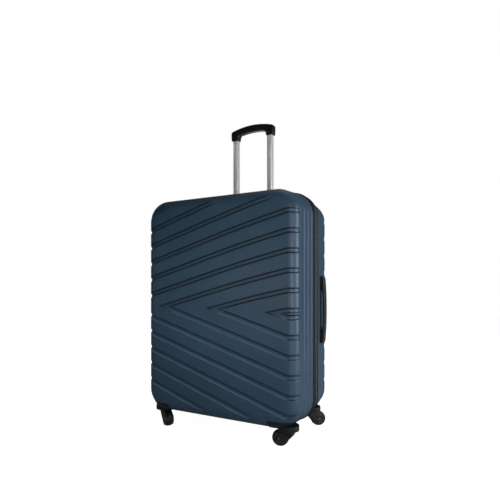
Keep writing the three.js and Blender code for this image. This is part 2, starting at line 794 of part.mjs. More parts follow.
function handleGrip(place) {
  const foot = handleBase + handlePlate + gap;
  const inEnd = handleEnd - handleEndLength;
  const bow = (u) => handleReach - 2.5 * (u / handleEnd) ** 2;
  const outer = stations(4 - handleEnd, handleEnd - 4, 22).map((u) => [u, bow(u)]);
  const inner = stations(6 - inEnd, inEnd - 6, 24).map((u) => [u, bow(u) - handleThickness]).reverse();
  const profile = [
    [-handleEnd, foot],
    [-handleEnd, bow(handleEnd) - 4],
    ...outer,
    [handleEnd, bow(handleEnd) - 4],
    [handleEnd, foot],
    [inEnd, foot],
    ...inner,
    [-inEnd, foot],
  ];
  let strap = prism(profile, handleWidth - 2, (u, v, w) => place(u, handleY + w, v));
  for (const end of [-1, 1]) {
    const centre = end * (handleEnd - handleEndLength / 2);
    strap = strap.subtract(prism(
      roundedRect(handlePost.length / 2 + 0.4, handlePost.width / 2 + 0.4, 1, 1, centre, handleY),
      handlePost.height + 1,
      (u, v, w) => place(u, v, handleBase + handlePost.height / 2 + w),
    ));
  }
  return strap;
}

const shellSkin = filled(1, -gap);
const onSide = (u, v, w) => [halfWidth + w, v, midZ - 11 + u];
const onTop = (u, v, w) => [u, v, topZ + w];
for (const [name, place, ends] of [
  ['side_handle', onSide, ['lower', 'upper']],
  ['top_handle', onTop, ['left', 'right']],
]) {
  piece(`${name}_grip`, handleGrip(place), handleRubber);
  piece(`${name}_mount_${ends[0]}`, handleMount(-1, place, shellSkin), handleRubber);
  piece(`${name}_mount_${ends[1]}`, handleMount(1, place, shellSkin), handleRubber);
}

// ---- casters -----------------------------------------------------------------------------------
const housingBottomZ = forkTopZ + gap;
const housingTopZ = housingBottomZ + housingHeight;
const swivelBore = swivelStem + 0.5;

function casterHousing(side, sign) {
  const centre = [sign * casterX, side * casterY];
  const xs = [sign * (casterX - housingReachX), sign * (halfWidth + 10)];
  const ys = [side * (casterY - housingReachY), side * (halfDepth + 10)];
  const zone = block([Math.min(...xs), Math.max(...xs)], [Math.min(...ys), Math.max(...ys)],
    [housingBottomZ, housingTopZ]);
  const wrap = filled(side, -housingProud, 40).intersect(zone);
  const boss = rod('z', bossRadius, 14, [...centre, housingBottomZ + 7], 24);
  const stemHole = rod('z', swivelBore, 30, [...centre, housingBottomZ - 5], 20);
  return wrap.add(boss).subtract(filled(side, -gap, 30)).subtract(stemHole);
}

// Fork and wheel are built with the swivel axis at the origin and the trail along +X.
function casterFork() {
  const disc = wheelRadius - cheekInset;
  const profile = [
    ...arc(casterTrail, wheelRadius, disc, -120, 35, 10),
    [20, forkTopZ],
    [-16, forkTopZ],
    [-17.5, forkTopZ - 5],
    [-12, forkTopZ - 16],
  ];
  const bodyShape = prism(profile, forkWidth, (u, v, w) => [u, w, v]);
  const centre = [casterTrail, 0, wheelRadius];
  const room = rod('y', wheelRadius + wheelClear, wheelWidth + 2 * wheelClear, centre, 24);
  const bore = rod('y', axleRadius + 0.3, forkWidth + 4, centre, 16);
  const stem = rod('z', swivelStem, 2.4, [0, 0, forkTopZ + 1], 20);
  return bodyShape.subtract(room).subtract(bore).add(stem);
}

function casterWheel() {
  const half = wheelWidth / 2;
  const bore = axleRadius + 0.4;
  const hubRadius = wheelRadius - 6;
  const profile = [
    [bore, -half], [hubRadius - 3, -half], [hubRadius - 1.5, -half + 1.5], [hubRadius, -half],
    [wheelRadius - 2, -half], [wheelRadius, -half + 3.5],
    [wheelRadius, half - 3.5], [wheelRadius - 2, half],
    [hubRadius, half], [hubRadius - 1.5, half - 1.5], [hubRadius - 3, half], [bore, half], [bore, -half],
  ].map(([r, y]) => new THREE.Vector2(r, y));
  const lathe = new THREE.LatheGeometry(profile, 24);
  lathe.translate(casterTrail, 0, 0);
  lathe.translate(0, 0, wheelRadius);
  return solid(lathe);
}

const fork = casterFork();
const wheel = casterWheel();
const axle = rod('y', axleRadius, forkWidth - 0.4, [casterTrail, 0, wheelRadius], 16);
const casters = [
  ['front_right', -1, 1, 173],
  ['front_left', -1, -1, -34],
  ['rear_right', 1, 1, 47],
  ['rear_left', 1, -1, 20],
];
for (const [name, side, sign, heading] of casters) {
  piece(`caster_housing_${name}`, casterHousing(side, sign), blackPlastic);
  for (const [part, shape, material] of [
    ['fork', fork, blackPlastic], ['wheel', wheel, tyreBlack], ['axle', axle, steel],
  ]) {
    const mesh = piece(`caster_${part}_${name}`, shape, material);
    mesh.position.set(sign * casterX, side * casterY, 0);
    mesh.rotation.z = THREE.MathUtils.degToRad(heading);
  }
}

// The origin lies under the middle of the whole object, side handle included.
assembly.position.x = -handleReach / 2;

const suitcase = new THREE.Group();
suitcase.add(assembly);
export default suitcase;
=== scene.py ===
# %% [markdown]
# # A hard shell spinner suitcase
# The imported design is loaded first, as a fixed frame. Every part below is built in metres around
# it, where the frame says, and nearly every one rides on one of its bodies; the hinge gusset and
# the release spring ride on none. Places and outer sizes are measured from the frame. Radii and
# profiles, which a box can't show, are named where they are used.

# %% Load the frame
import json
import math

import bmesh
import bpy
import numpy as np
from mathutils import Matrix, Vector
from mathutils.geometry import delaunay_2d_cdt

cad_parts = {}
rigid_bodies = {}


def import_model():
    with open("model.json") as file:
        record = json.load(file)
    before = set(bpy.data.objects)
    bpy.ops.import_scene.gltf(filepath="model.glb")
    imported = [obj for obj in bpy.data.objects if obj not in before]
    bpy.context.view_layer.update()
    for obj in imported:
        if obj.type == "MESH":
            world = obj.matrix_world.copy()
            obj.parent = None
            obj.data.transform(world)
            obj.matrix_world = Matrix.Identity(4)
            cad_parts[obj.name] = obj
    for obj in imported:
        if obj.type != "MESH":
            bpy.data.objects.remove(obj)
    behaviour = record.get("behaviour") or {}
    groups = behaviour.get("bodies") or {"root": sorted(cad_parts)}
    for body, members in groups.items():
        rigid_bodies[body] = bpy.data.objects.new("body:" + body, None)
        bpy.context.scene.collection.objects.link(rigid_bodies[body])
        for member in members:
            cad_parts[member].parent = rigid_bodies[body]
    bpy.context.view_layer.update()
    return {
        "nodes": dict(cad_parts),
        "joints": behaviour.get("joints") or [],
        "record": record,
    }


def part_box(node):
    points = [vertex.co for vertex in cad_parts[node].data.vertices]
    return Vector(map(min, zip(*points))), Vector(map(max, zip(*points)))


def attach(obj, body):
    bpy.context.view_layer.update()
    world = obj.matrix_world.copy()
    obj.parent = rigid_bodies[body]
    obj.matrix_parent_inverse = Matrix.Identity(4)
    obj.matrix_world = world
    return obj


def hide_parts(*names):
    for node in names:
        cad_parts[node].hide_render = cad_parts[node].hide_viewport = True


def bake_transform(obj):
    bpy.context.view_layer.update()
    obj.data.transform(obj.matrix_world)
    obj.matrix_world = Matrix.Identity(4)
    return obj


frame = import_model()
MM = 0.001


def size_of(node):
    """Lowest corner, highest corner, middle and size of a frame node, in metres."""
    low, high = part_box(node)
    return low, high, (low + high) / 2, high - low


SHELL_LOW, SHELL_HIGH, SHELL_MID, SHELL_SIZE = size_of("front_shell")
CASE_X, CASE_Z = SHELL_MID.x, SHELL_MID.z
HALF_W, HALF_H = SHELL_SIZE.x / 2, SHELL_SIZE.z / 2
HALF_D, RIM_Y = -SHELL_LOW.y, -SHELL_HIGH.y
print(f"case {SHELL_SIZE.x:.3f} x {2 * HALF_D:.3f} x {SHELL_SIZE.z:.3f} m,",
      len(frame["nodes"]), "nodes")

# %% [markdown]
# ## Camera, floor and light
# The camera is level and low, and sees the case from its front right corner. The floor is plain
# white. The key lamp stands to the right and grazes the front, so that the walls of its channels
# are drawn in light and shade; painted shade and painted highlights in the shell's colour make them
# stronger. A flat lamp near the face, kept out of reflections, lifts its middle. The others light
# the side, the tubes, the front, the top and the back. The camera sees no lamp itself. The sky is
# white to the eye, but gives only a little light.

# %% Camera
VIEW_TURN = math.radians(29.52)
CAMERA_AT = Vector((0.6169, -1.2495, 0.4569))
LENS = 30.61
LENS_SHIFT = (0.0696, 0.0697)


def add_camera():
    data = bpy.data.cameras.new("studio_camera")
    data.lens = LENS
    data.sensor_width = 36
    data.shift_x, data.shift_y = LENS_SHIFT
    camera = bpy.data.objects.new("studio_camera", data)
    camera.location = CAMERA_AT
    camera.rotation_euler = (math.pi / 2, 0, VIEW_TURN)
    bpy.context.scene.collection.objects.link(camera)
    bpy.context.scene.camera = camera


add_camera()


# %% Floor and lamps
def plain_material(name, color, roughness):
    material = bpy.data.materials.new(name)
    material.use_nodes = True
    shader = material.node_tree.nodes["Principled BSDF"]
    shader.inputs["Base Color"].default_value = (*color, 1)
    shader.inputs["Roughness"].default_value = roughness
    return material


def only_for_camera(tree, strength_seen, strength_lit):
    """A strength that is one value where the eye sees the surface, and another for its light."""
    path = tree.nodes.new("ShaderNodeLightPath")
    blend = tree.nodes.new("ShaderNodeMix")
    tree.links.new(path.outputs["Is Camera Ray"], blend.inputs[0])
    blend.inputs[2].default_value = strength_lit
    blend.inputs[3].default_value = strength_seen
    return blend.outputs[0]


def add_floor():
    bpy.ops.mesh.primitive_plane_add(size=14)
    floor = bpy.context.object
    floor.name = "studio_floor"
    material = plain_material("studio_white", (0.5, 0.5, 0.5), 0.95)
    shader = material.node_tree.nodes["Principled BSDF"]
    shader.inputs["Emission Color"].default_value = (1, 1, 1, 1)
    glow = only_for_camera(material.node_tree, 0.96, 0.0)
    material.node_tree.links.new(glow, shader.inputs["Emission Strength"])
    floor.data.materials.append(material)


def add_lamp(name, place, aim, size, power, tint=(1, 1, 1), mirrored=True):
    data = bpy.data.lights.new(name, "AREA")
    data.shape = "RECTANGLE"
    data.size, data.size_y = size
    data.energy = power
    data.color = tint
    lamp = bpy.data.objects.new(name, data)
    lamp.location = place
    lamp.rotation_euler = (Vector(aim) - Vector(place)).to_track_quat("-Z", "Y").to_euler()
    lamp.visible_camera = False
    lamp.visible_glossy = mirrored
    bpy.context.scene.collection.objects.link(lamp)
    return lamp


def add_sky(seen, lit):
    world = bpy.data.worlds.new("studio_sky")
    world.use_nodes = True
    background = world.node_tree.nodes["Background"]
    background.inputs["Color"].default_value = (1, 1, 1, 1)
    world.node_tree.links.new(
        only_for_camera(world.node_tree, seen, lit), background.inputs["Strength"])
    bpy.context.scene.world = world


add_floor()
add_sky(1.0, 0.065)
add_lamp("lamp_key", (1.5, -1.0, 0.52), (0.1, -0.1, 0.42), (0.7, 0.5), 6.5, (0.88, 0.95, 1))
add_lamp("lamp_near", (0.10, -0.55, 0.44), (0.08, -0.15, 0.44), (0.7, 0.12), 1.0,
         (0.95, 0.98, 1), mirrored=False)
add_lamp("lamp_side", (2.4, 0.7, 0.6), (0.25, 0, 0.4), (0.8, 1.6), 30, (0.84, 0.94, 1))
lamp_tubes = add_lamp("lamp_tubes", (0.7, -0.9, 1.0), (0, 0.12, 0.9), (0.3, 0.3), 0.13)
lamp_tubes.data.spread = math.radians(30)
add_lamp("lamp_front", (-0.5, -2.4, 0.5), (-0.05, -0.15, 0.42), (0.5, 0.5), 1)
add_lamp("lamp_top", (0.2, 0.5, 2.6), (0, 0, 0.7), (1.4, 1.4), 5)
add_lamp("lamp_back", (-1.2, 2.4, 1.1), (0, 0.1, 0.4), (1.2, 1.6), 18)
bpy.context.scene.view_settings.view_transform = "Standard"

# %% [markdown]
# ## Mesh helpers
# Each visible piece is a plain mesh at the origin with its place in its vertices. `mesh_of` turns
# vertices and faces into such a mesh, and `outward` turns round any normals that point inwards.
# `make` then gives it a material and a body to ride on, and hides the frame nodes that it stands
# for.


# %% Piece helpers
def link(obj):
    bpy.context.scene.collection.objects.link(obj)
    return obj


def mesh_of(name, verts, faces, uvs=None):
    mesh = bpy.data.meshes.new(name)
    mesh.from_pydata([tuple(v) for v in verts], [], [tuple(int(i) for i in f) for f in faces])
    if uvs is not None:
        layer = mesh.uv_layers.new(name="UVMap")
        corner_uv = np.asarray(uvs, np.float32)[[i for f in faces for i in f]]
        layer.data.foreach_set("uv", corner_uv.ravel())
    mesh.validate()
    mesh.update()
    return mesh


def outward(mesh):
    """Recalculates the normals of a closed mesh so that they point outwards."""
    bm = bmesh.new()
    bm.from_mesh(mesh)
    bmesh.ops.recalc_face_normals(bm, faces=bm.faces)
    if bm.calc_volume(signed=True) < 0:
        bmesh.ops.reverse_faces(bm, faces=bm.faces)
    bm.to_mesh(mesh)
    bm.free()


def smooth(obj, angle):
    """Smooth shading that keeps edges sharper than `angle` degrees."""
    obj.data.polygons.foreach_set("use_smooth", [True] * len(obj.data.polygons))
    bm = bmesh.new()
    bm.from_mesh(obj.data)
    limit = math.radians(angle)
    for edge in bm.edges:
        edge.smooth = len(edge.link_faces) != 2 or edge.calc_face_angle(0) < limit
    bm.to_mesh(obj.data)
    bm.free()
    return obj


def bake(obj):
    """Replaces an object's mesh by what its modifiers make of it."""
    bpy.context.view_layer.update()
    depsgraph = bpy.context.evaluated_depsgraph_get()
    mesh = bpy.data.meshes.new_from_object(obj.evaluated_get(depsgraph), depsgraph=depsgraph)
    obj.modifiers.clear()
    obj.data = mesh
    return obj


def settle(obj, body, finish, nodes=()):
    """A finished piece: the body it rides on, the nodes it stands for; `finish` is not used."""
    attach(obj, body)
    if nodes:
        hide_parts(*nodes)
    return obj


def make(name, mesh, material, body, finish, nodes, angle):
    obj = link(bpy.data.objects.new(name, mesh))
    obj.data.materials.clear()
    obj.data.materials.append(material)
    smooth(obj, angle)
    return settle(obj, body, finish, nodes)


# %% Rounding helpers
BEVEL_ANGLE = math.radians(30)


def bevelled(mesh, width, segments=3):
    """Rounds the sharp edges of a closed mesh and returns the new mesh."""
    obj = link(bpy.data.objects.new("to_round", mesh))
    bevel = obj.modifiers.new("round", "BEVEL")
    bevel.width = width
    bevel.segments = segments
    bevel.limit_method = "ANGLE"
    bevel.angle_limit = BEVEL_ANGLE
    bevel.harden_normals = False
    bake(obj)
    rounded = obj.data
    bpy.data.objects.remove(obj)
    return rounded


def frame_copy(node):
    """A merged, flat-faced copy of a frame node's mesh, ready to be rounded."""
    mesh = frame["nodes"][node].data.copy()
    bm = bmesh.new()
    bm.from_mesh(mesh)
    bmesh.ops.remove_doubles(bm, verts=bm.verts, dist=2e-5)
    bmesh.ops.dissolve_limit(
        bm, angle_limit=math.radians(1), verts=bm.verts, edges=bm.edges, delimit=set()
    )
    bm.to_mesh(mesh)
    bm.free()
    mesh.materials.clear()
    return mesh


def grid_faces(rows, columns, closed=False):
    """Quads between `rows` rings of `columns` points each."""
    last = columns if closed else columns - 1
    return [
        (r * columns + c, r * columns + (c + 1) % columns,
         (r + 1) * columns + (c + 1) % columns, (r + 1) * columns + c)
        for r in range(rows - 1) for c in range(last)
    ]


# %% [markdown]
# ## Shared surface effects
# Four effects come back on several finishes, so each is a small node group that is built once and
# placed in a material with its own values: the grain of a mould, faint handling scuffs, a woven
# cloth and the dust that settles low down. The groups only put out masks and heights. The shader
# itself, with every value that is the same all over, stays in the material.


# %% Group: mould grain
def new_group(name, inputs, outputs):
    group = bpy.data.node_groups.new(name, "ShaderNodeTree")
    for label, default in inputs:
        kind = "NodeSocketVector" if default is None else "NodeSocketFloat"
        socket = group.interface.new_socket(label, in_out="INPUT", socket_type=kind)
        if default is not None:
            socket.default_value = default
    for label in outputs:
        group.interface.new_socket(label, in_out="OUTPUT", socket_type="NodeSocketFloat")
    enter = group.nodes.new("NodeGroupInput")
    leave = group.nodes.new("NodeGroupOutput")
    return group, enter, leave


def add(tree, kind, inputs=None, **settings):
    """Adds a node, sets its properties, and fills sockets with values or links."""
    node = tree.nodes.new(kind)
    for key, value in settings.items():
        setattr(node, key, value)
    for key, value in (inputs or {}).items():
        if isinstance(value, bpy.types.NodeSocket):
            tree.links.new(value, node.inputs[key])
        else:
            node.inputs[key].default_value = value
    return node


def maths(tree, operation, a, b=0.0, clamp=False):
    node = add(tree, "ShaderNodeMath", {0: a, 1: b}, operation=operation, use_clamp=clamp)
    return node.outputs[0]


def grain_group():
    """Fine moulded grain: a height, and a slow variation for colour and gloss."""
    group, enter, leave = new_group("mould_grain", [("Grain size", 0.0008)], ["Height", "Drift"])
    place = add(group, "ShaderNodeTexCoord").outputs["Object"]
    scale = maths(group, "DIVIDE", 1.0, enter.outputs["Grain size"])
    fine = add(group, "ShaderNodeTexNoise", {"Vector": place, "Scale": scale, "Detail": 2.0})
    slow = add(group, "ShaderNodeTexNoise", {"Vector": place, "Scale": 7.0, "Detail": 3.0})
    group.links.new(fine.outputs["Fac"], leave.inputs["Height"])
    group.links.new(slow.outputs["Fac"], leave.inputs["Drift"])
    return group


GRAIN = grain_group()


# %% Group: handling scuffs
def scuff_group():
    """Short, faint, mostly level scratches in patches, as luggage picks up."""
    group, enter, leave = new_group("scuffs", [("Scale", 1.0), ("Amount", 0.5)], ["Mask"])
    place = add(group, "ShaderNodeTexCoord").outputs["Object"]
    squeezed = add(group, "ShaderNodeMapping", {"Vector": place, "Scale": (14, 14, 190)})
    streak = add(group, "ShaderNodeTexNoise", {
        "Vector": squeezed.outputs[0], "Scale": enter.outputs["Scale"], "Detail": 5.0,
        "Roughness": 0.62,
    })
    patch = add(group, "ShaderNodeTexNoise", {"Vector": place, "Scale": 5.5, "Detail": 2.0})
    lines = maths(group, "MULTIPLY", maths(
        group, "SUBTRACT", streak.outputs["Fac"], 0.62), 7.0, True)
    where = maths(group, "MULTIPLY", maths(
        group, "SUBTRACT", patch.outputs["Fac"], 0.5), 6.0, True)
    both = maths(group, "MULTIPLY", lines, where)
    group.links.new(
        maths(group, "MULTIPLY", both, enter.outputs["Amount"]), leave.inputs["Mask"])
    return group


SCUFFS = scuff_group()


# %% Group: woven cloth
def weave_group():
    """Over-and-under threads along U and V, given in threads per unit of the vector."""
    group, enter, leave = new_group(
        "weave", [("Vector", None), ("Threads", 900.0)], ["Height", "Thread"])
    scaled = add(group, "ShaderNodeVectorMath", {
        0: enter.outputs["Vector"]}, operation="SCALE")
    group.links.new(enter.outputs["Threads"], scaled.inputs["Scale"])
    parts = add(group, "ShaderNodeSeparateXYZ", {"Vector": scaled.outputs[0]})
    waves = []
    for along, across in ((0, 1), (1, 0)):
        rib = maths(group, "ABSOLUTE", maths(
            group, "SINE", maths(group, "MULTIPLY", parts.outputs[across], math.pi)))
        row = maths(group, "FLOOR", parts.outputs[across])
        shift = maths(group, "ADD", parts.outputs[along], maths(group, "ADD", row, along))
        over = maths(group, "ADD", 0.5, maths(group, "MULTIPLY", 0.5, maths(
            group, "SINE", maths(group, "MULTIPLY", shift, math.pi))))
        waves.append(maths(group, "MULTIPLY", rib, over))
    height = maths(group, "MAXIMUM", waves[0], waves[1])
    group.links.new(height, leave.inputs["Height"])
    group.links.new(maths(group, "GREATER_THAN", waves[0], waves[1]), leave.inputs["Thread"])
    return group


WEAVE = weave_group()


# %% Group: settled dust
def dust_group():
    """Dust that thins out with height above the floor, broken up by noise."""
    group, enter, leave = new_group("dust", [("Reach", 0.06), ("Amount", 0.5)], ["Mask"])
    place = add(group, "ShaderNodeTexCoord").outputs["Object"]
    parts = add(group, "ShaderNodeSeparateXYZ", {"Vector": place})
    low = maths(group, "SUBTRACT", 1.0, maths(
        group, "DIVIDE", parts.outputs["Z"], enter.outputs["Reach"]), True)
    speck = add(group, "ShaderNodeTexNoise", {"Vector": place, "Scale": 160.0, "Detail": 4.0})
    broken = maths(group, "MULTIPLY", maths(
        group, "SUBTRACT", speck.outputs["Fac"], 0.35), 2.2, True)
    group.links.new(maths(group, "MULTIPLY", maths(
        group, "MULTIPLY", low, broken), enter.outputs["Amount"]), leave.inputs["Mask"])
    return group


DUST = dust_group()

# %% [markdown]
# ## Finishes
# The shell is a satin moulded plastic: a deep petrol blue with a thin clear coat over it that
# catches a broad soft highlight. Its channel walls carry painted shade, and a painted highlight
# where they face the light. Piping, corners and grip are black plastics of different gloss. The
# tubes are satin aluminium. Cloth parts read their own UV map, which is laid out in metres, so
# their threads have a real size; their colour is darker in the gaps between threads, as painted
# shade.


# %% Material builder
def mixed(tree, factor, first, second):
    node = add(tree, "ShaderNodeMix", {0: factor, 6: first, 7: second}, data_type="RGBA")
    return node.outputs[2]


def shade(value):
    """A colour from its sRGB hex string, as the linear values that the nodes use."""
    parts = [int(value[i:i + 2], 16) / 255 for i in (1, 3, 5)]
    linear = [c / 12.92 if c <= 0.04045 else ((c + 0.055) / 1.055) ** 2.4 for c in parts]
    return (*linear, 1.0)


def start_material(name, **constants):
    material = bpy.data.materials.new(name)
    material.use_nodes = True
    tree = material.node_tree
    shader = tree.nodes["Principled BSDF"]
    for label, value in constants.items():
        shader.inputs[label.replace("_", " ")].default_value = value
    return material, tree, shader


def use(tree, group, **inputs):
    node = add(tree, "ShaderNodeGroup", node_tree=group)
    for label, value in inputs.items():
        socket = node.inputs[label.replace("_", " ")]
        if isinstance(value, bpy.types.NodeSocket):
            tree.links.new(value, socket)
        else:
            socket.default_value = value
    return node.outputs


def bump(tree, shader, height, distance):
    node = add(tree, "ShaderNodeBump", {
        "Height": height, "Distance": distance, "Strength": 1.0})
    tree.links.new(node.outputs["Normal"], shader.inputs["Normal"])


def moulded(name, dark, light, roughness, grain, depth, scuff, dust=0.0, reach=0.06, **constants):
    """A moulded plastic or rubber: grain, slow drift of colour and gloss, scuffs and dust."""
    material, tree, shader = start_material(name, **constants)
    surface = use(tree, GRAIN, Grain_size=grain)
    color = mixed(tree, surface["Drift"], shade(dark), shade(light))
    rubbed = use(tree, SCUFFS, Scale=1.0, Amount=scuff)["Mask"]
    color = mixed(tree, maths(tree, "MULTIPLY", rubbed, 0.35), color, shade("#8f9499"))
    rough = maths(tree, "ADD", roughness - 0.05, maths(tree, "MULTIPLY", surface["Drift"], 0.1))
    rough = maths(tree, "ADD", rough, maths(tree, "MULTIPLY", rubbed, 0.2))
    if dust:
        settled = use(tree, DUST, Reach=reach, Amount=dust)["Mask"]
        color = mixed(tree, settled, color, shade("#8d877c"))
        rough = maths(tree, "ADD", rough, maths(tree, "MULTIPLY", settled, 0.3))
    tree.links.new(color, shader.inputs["Base Color"])
    tree.links.new(rough, shader.inputs["Roughness"])
    bump(tree, shader, surface["Height"], depth)
    return material


# %% Plastics and rubbers
SHELL_BLUE = moulded(
    "satin_petrol_shell", "#30495e", "#3a566c", 0.44, 0.0011, 0.00006, 0.25,
    Coat_Weight=0.14, Coat_Roughness=0.3, IOR=1.5)


def darken_channels(material):
    """Painted shade on the steep channel walls, and a painted highlight on those that face up and
    to the right.
    """
    tree = material.node_tree
    shader = tree.nodes["Principled BSDF"]
    wall = add(tree, "ShaderNodeAttribute", attribute_name="painted_channel_shade").outputs["Fac"]
    before = shader.inputs["Base Color"].links[0].from_socket
    # Painted shade: the wall value darkens the base colour towards a near-black blue.
    with_painted_shade = mixed(tree, maths(tree, "MULTIPLY", wall, 0.95), before, shade("#04080c"))
    # Painted highlight: where the wall value is below zero, the base colour is lightened towards a
    # pale blue.
    painted_highlight = maths(tree, "MAXIMUM", maths(tree, "MULTIPLY", wall, -0.6), 0.0)
    tree.links.new(mixed(tree, painted_highlight, with_painted_shade, shade("#6d90ad")), shader.inputs["Base Color"])


# The shell's colour gets painted shade and painted highlights on its channel walls.
darken_channels(SHELL_BLUE)
SHELL_INSIDE = moulded("shell_inside", "#2a3d50", "#30465b", 0.6, 0.002, 0.0001, 0.1)
PIPING = moulded("piping_rubber", "#08080a", "#0e0e10", 0.5, 0.0009, 0.00003, 0.2)
BLACK_PLASTIC = moulded(
    "black_moulded", "#0b0b0d", "#101113", 0.42, 0.0007, 0.00004, 0.35, 0.35, 0.07)
GRIP_PLASTIC = moulded(
    "grip_plastic", "#08090b", "#0d0e11", 0.36, 0.0008, 0.00003, 0.25, Coat_Weight=0.1)
HANDLE_RUBBER = moulded("handle_rubber", "#241f1d", "#2d2825", 0.5, 0.0006, 0.00005, 0.3)
TYRE = moulded("tyre_rubber", "#09090a", "#0e0e10", 0.62, 0.0010, 0.00006, 0.3, 0.55, 0.045)
HUB = moulded("hub_plastic", "#0c0d0f", "#131417", 0.4, 0.0008, 0.00003, 0.3, 0.4, 0.045)
print("plastics:", len(bpy.data.materials))


# %% Metals
def metal(name, dark, light, roughness, stretch, metallic=1.0):
    """Satin or brushed metal; `stretch` squeezes the noise into lines along Z."""
    material, tree, shader = start_material(name, Metallic=metallic)
    place = add(tree, "ShaderNodeTexCoord").outputs["Object"]
    squeezed = add(tree, "ShaderNodeMapping", {"Vector": place, "Scale": stretch})
    lines = add(tree, "ShaderNodeTexNoise", {
        "Vector": squeezed.outputs[0], "Scale": 1.0, "Detail": 4.0}).outputs["Fac"]
    rubbed = use(tree, SCUFFS, Scale=1.3, Amount=0.4)["Mask"]
    tree.links.new(mixed(tree, lines, shade(dark), shade(light)), shader.inputs["Base Color"])
    rough = maths(tree, "ADD", roughness, maths(tree, "MULTIPLY", lines, 0.12))
    rough = maths(tree, "ADD", rough, maths(tree, "MULTIPLY", rubbed, 0.15))
    tree.links.new(rough, shader.inputs["Roughness"])
    bump(tree, shader, lines, 0.00002)
    return material


ALUMINIUM = metal("satin_aluminium", "#c9c7c0", "#fbf9f4", 0.36, (2600, 2600, 22), 0.5)
STEEL = metal("bright_steel", "#8f9092", "#9b9c9e", 0.28, (160, 160, 160))


# %% Cloths
def cloth(name, dark, light, threads, depth, sheen=0.25, lengthwise=1.0):
    """Woven cloth on the piece's own UV map: darker in the gaps between threads, as painted shade,
    with random tone along the fibres.
    """
    material, tree, shader = start_material(
        name, Roughness=0.85, Sheen_Weight=sheen, Sheen_Roughness=0.5)
    uv = add(tree, "ShaderNodeTexCoord").outputs["UV"]
    shaped = add(tree, "ShaderNodeMapping", {"Vector": uv, "Scale": (lengthwise, 1, 1)})
    woven = use(tree, WEAVE, Vector=shaped.outputs[0], Threads=threads)
    fibre = add(tree, "ShaderNodeTexNoise", {
        "Vector": shaped.outputs[0], "Scale": threads * 1.7, "Detail": 3.0}).outputs["Fac"]
    # Painted shade: the colour follows the weave's height, darkest between threads and where a
    # thread dips under; the fibre noise adds random tone.
    gap_shade_and_fibre = maths(tree, "MULTIPLY", woven["Height"], fibre)
    color = mixed(tree, maths(tree, "MULTIPLY", gap_shade_and_fibre, 1.6, True), shade(dark), shade(light))
    tree.links.new(color, shader.inputs["Base Color"])
    bump(tree, shader, woven["Height"], depth)
    return material


TAPE = cloth("zip_tape", "#6a635b", "#857d73", 1100, 0.00025)
GUSSET = cloth("hinge_gusset", "#2f2c29", "#4c4742", 900, 0.0003)
LINING = cloth("lining_cloth", "#4a4f55", "#6a7077", 1400, 0.00015)
WEBBING = cloth("webbing", "#17181a", "#2a2b2e", 620, 0.0004, 0.3, 0.6)
PANEL = cloth("divider_cloth", "#3a3d42", "#474a50", 1200, 0.0002)
THREAD_FINISH = moulded("sewing_thread", "#201e1c", "#2e2b28", 0.75, 0.0004, 0.00002, 0.0)
print("finishes:", ", ".join(m.name for m in bpy.data.materials))

# %% [markdown]
# ## The half shells
# Each half is one vacuum-formed sheet: a flat face, a rolled edge, and walls that lean in a little
# so that the mould lets go. Chevron channels are pressed into the face and run round the upright
# edges. Cutting them out of a mesh would leave ragged triangles, so the sheet is drawn unrolled, as
# a flat plan. Offset lines on both sides of each channel are put into it as fixed lines, a Delaunay
# triangulation fills the space between them, and the finished plan is then rolled over the edges.
# Each point also carries a depth, and moves inwards by it along the local normal, and a value of
# painted shade for the channel walls, which darkens the shell's colour there and lightens it where
# it is below zero.

# %% Plan of one half shell, in millimetres
FACE_ROLL = 35.0
DRAFT = 8.0
CORNER = 74.0
FLAT_X = HALF_W / MM - DRAFT - FACE_ROLL
FLAT_Z = HALF_H / MM - DRAFT - FACE_ROLL
FLAT_CORNER = CORNER - DRAFT - FACE_ROLL
ROLL_LENGTH = FACE_ROLL * math.pi / 2
WALL_DEPTH = (HALF_D - RIM_Y) / MM - FACE_ROLL
WALL_LENGTH = math.hypot(WALL_DEPTH, DRAFT)
FLUTES = (28.0, 56.0, 84.0)      # down the wall, in mm from the end of the rolled edge
FLUTE_HALF, FLUTE_DEPTH = 6.0, 1.4
CHANNEL_FADE = 12                # a channel runs out over this length past a level edge
print(f"flat face {2 * FLAT_X:.0f} x {2 * FLAT_Z:.0f} mm, wall {WALL_LENGTH:.1f} mm")


def outwards(plan):
    """Splits plan points into a core point, an outward direction and a distance past the face."""
    limit = np.array([FLAT_X - FLAT_CORNER, FLAT_Z - FLAT_CORNER])
    core = np.clip(plan, -limit, limit)
    away = plan - core
    length = np.linalg.norm(away, axis=1)
    direction = away / np.maximum(length, 1e-9)[:, None]
    return core, direction, length - FLAT_CORNER


def rolled(plan):
    """Plan points rolled over the edges, and each one's direction, turn, drop and distance."""
    core, direction, past = outwards(plan)
    outside = past > 0
    base = np.where(outside[:, None], core + direction * FLAT_CORNER, plan)
    past = np.maximum(past, 0)
    angle = np.minimum(past / FACE_ROLL, math.pi / 2)
    down = np.maximum(past - ROLL_LENGTH, 0) / WALL_LENGTH
    reach = FACE_ROLL * np.sin(angle) + DRAFT * down
    back = FACE_ROLL * (1 - np.cos(angle)) + WALL_DEPTH * down
    direction = direction * outside[:, None]
    points = np.column_stack([
        base[:, 0] + direction[:, 0] * reach,
        -HALF_D / MM + back,
        base[:, 1] + direction[:, 1] * reach,
    ])
    return points, direction, angle, down, past


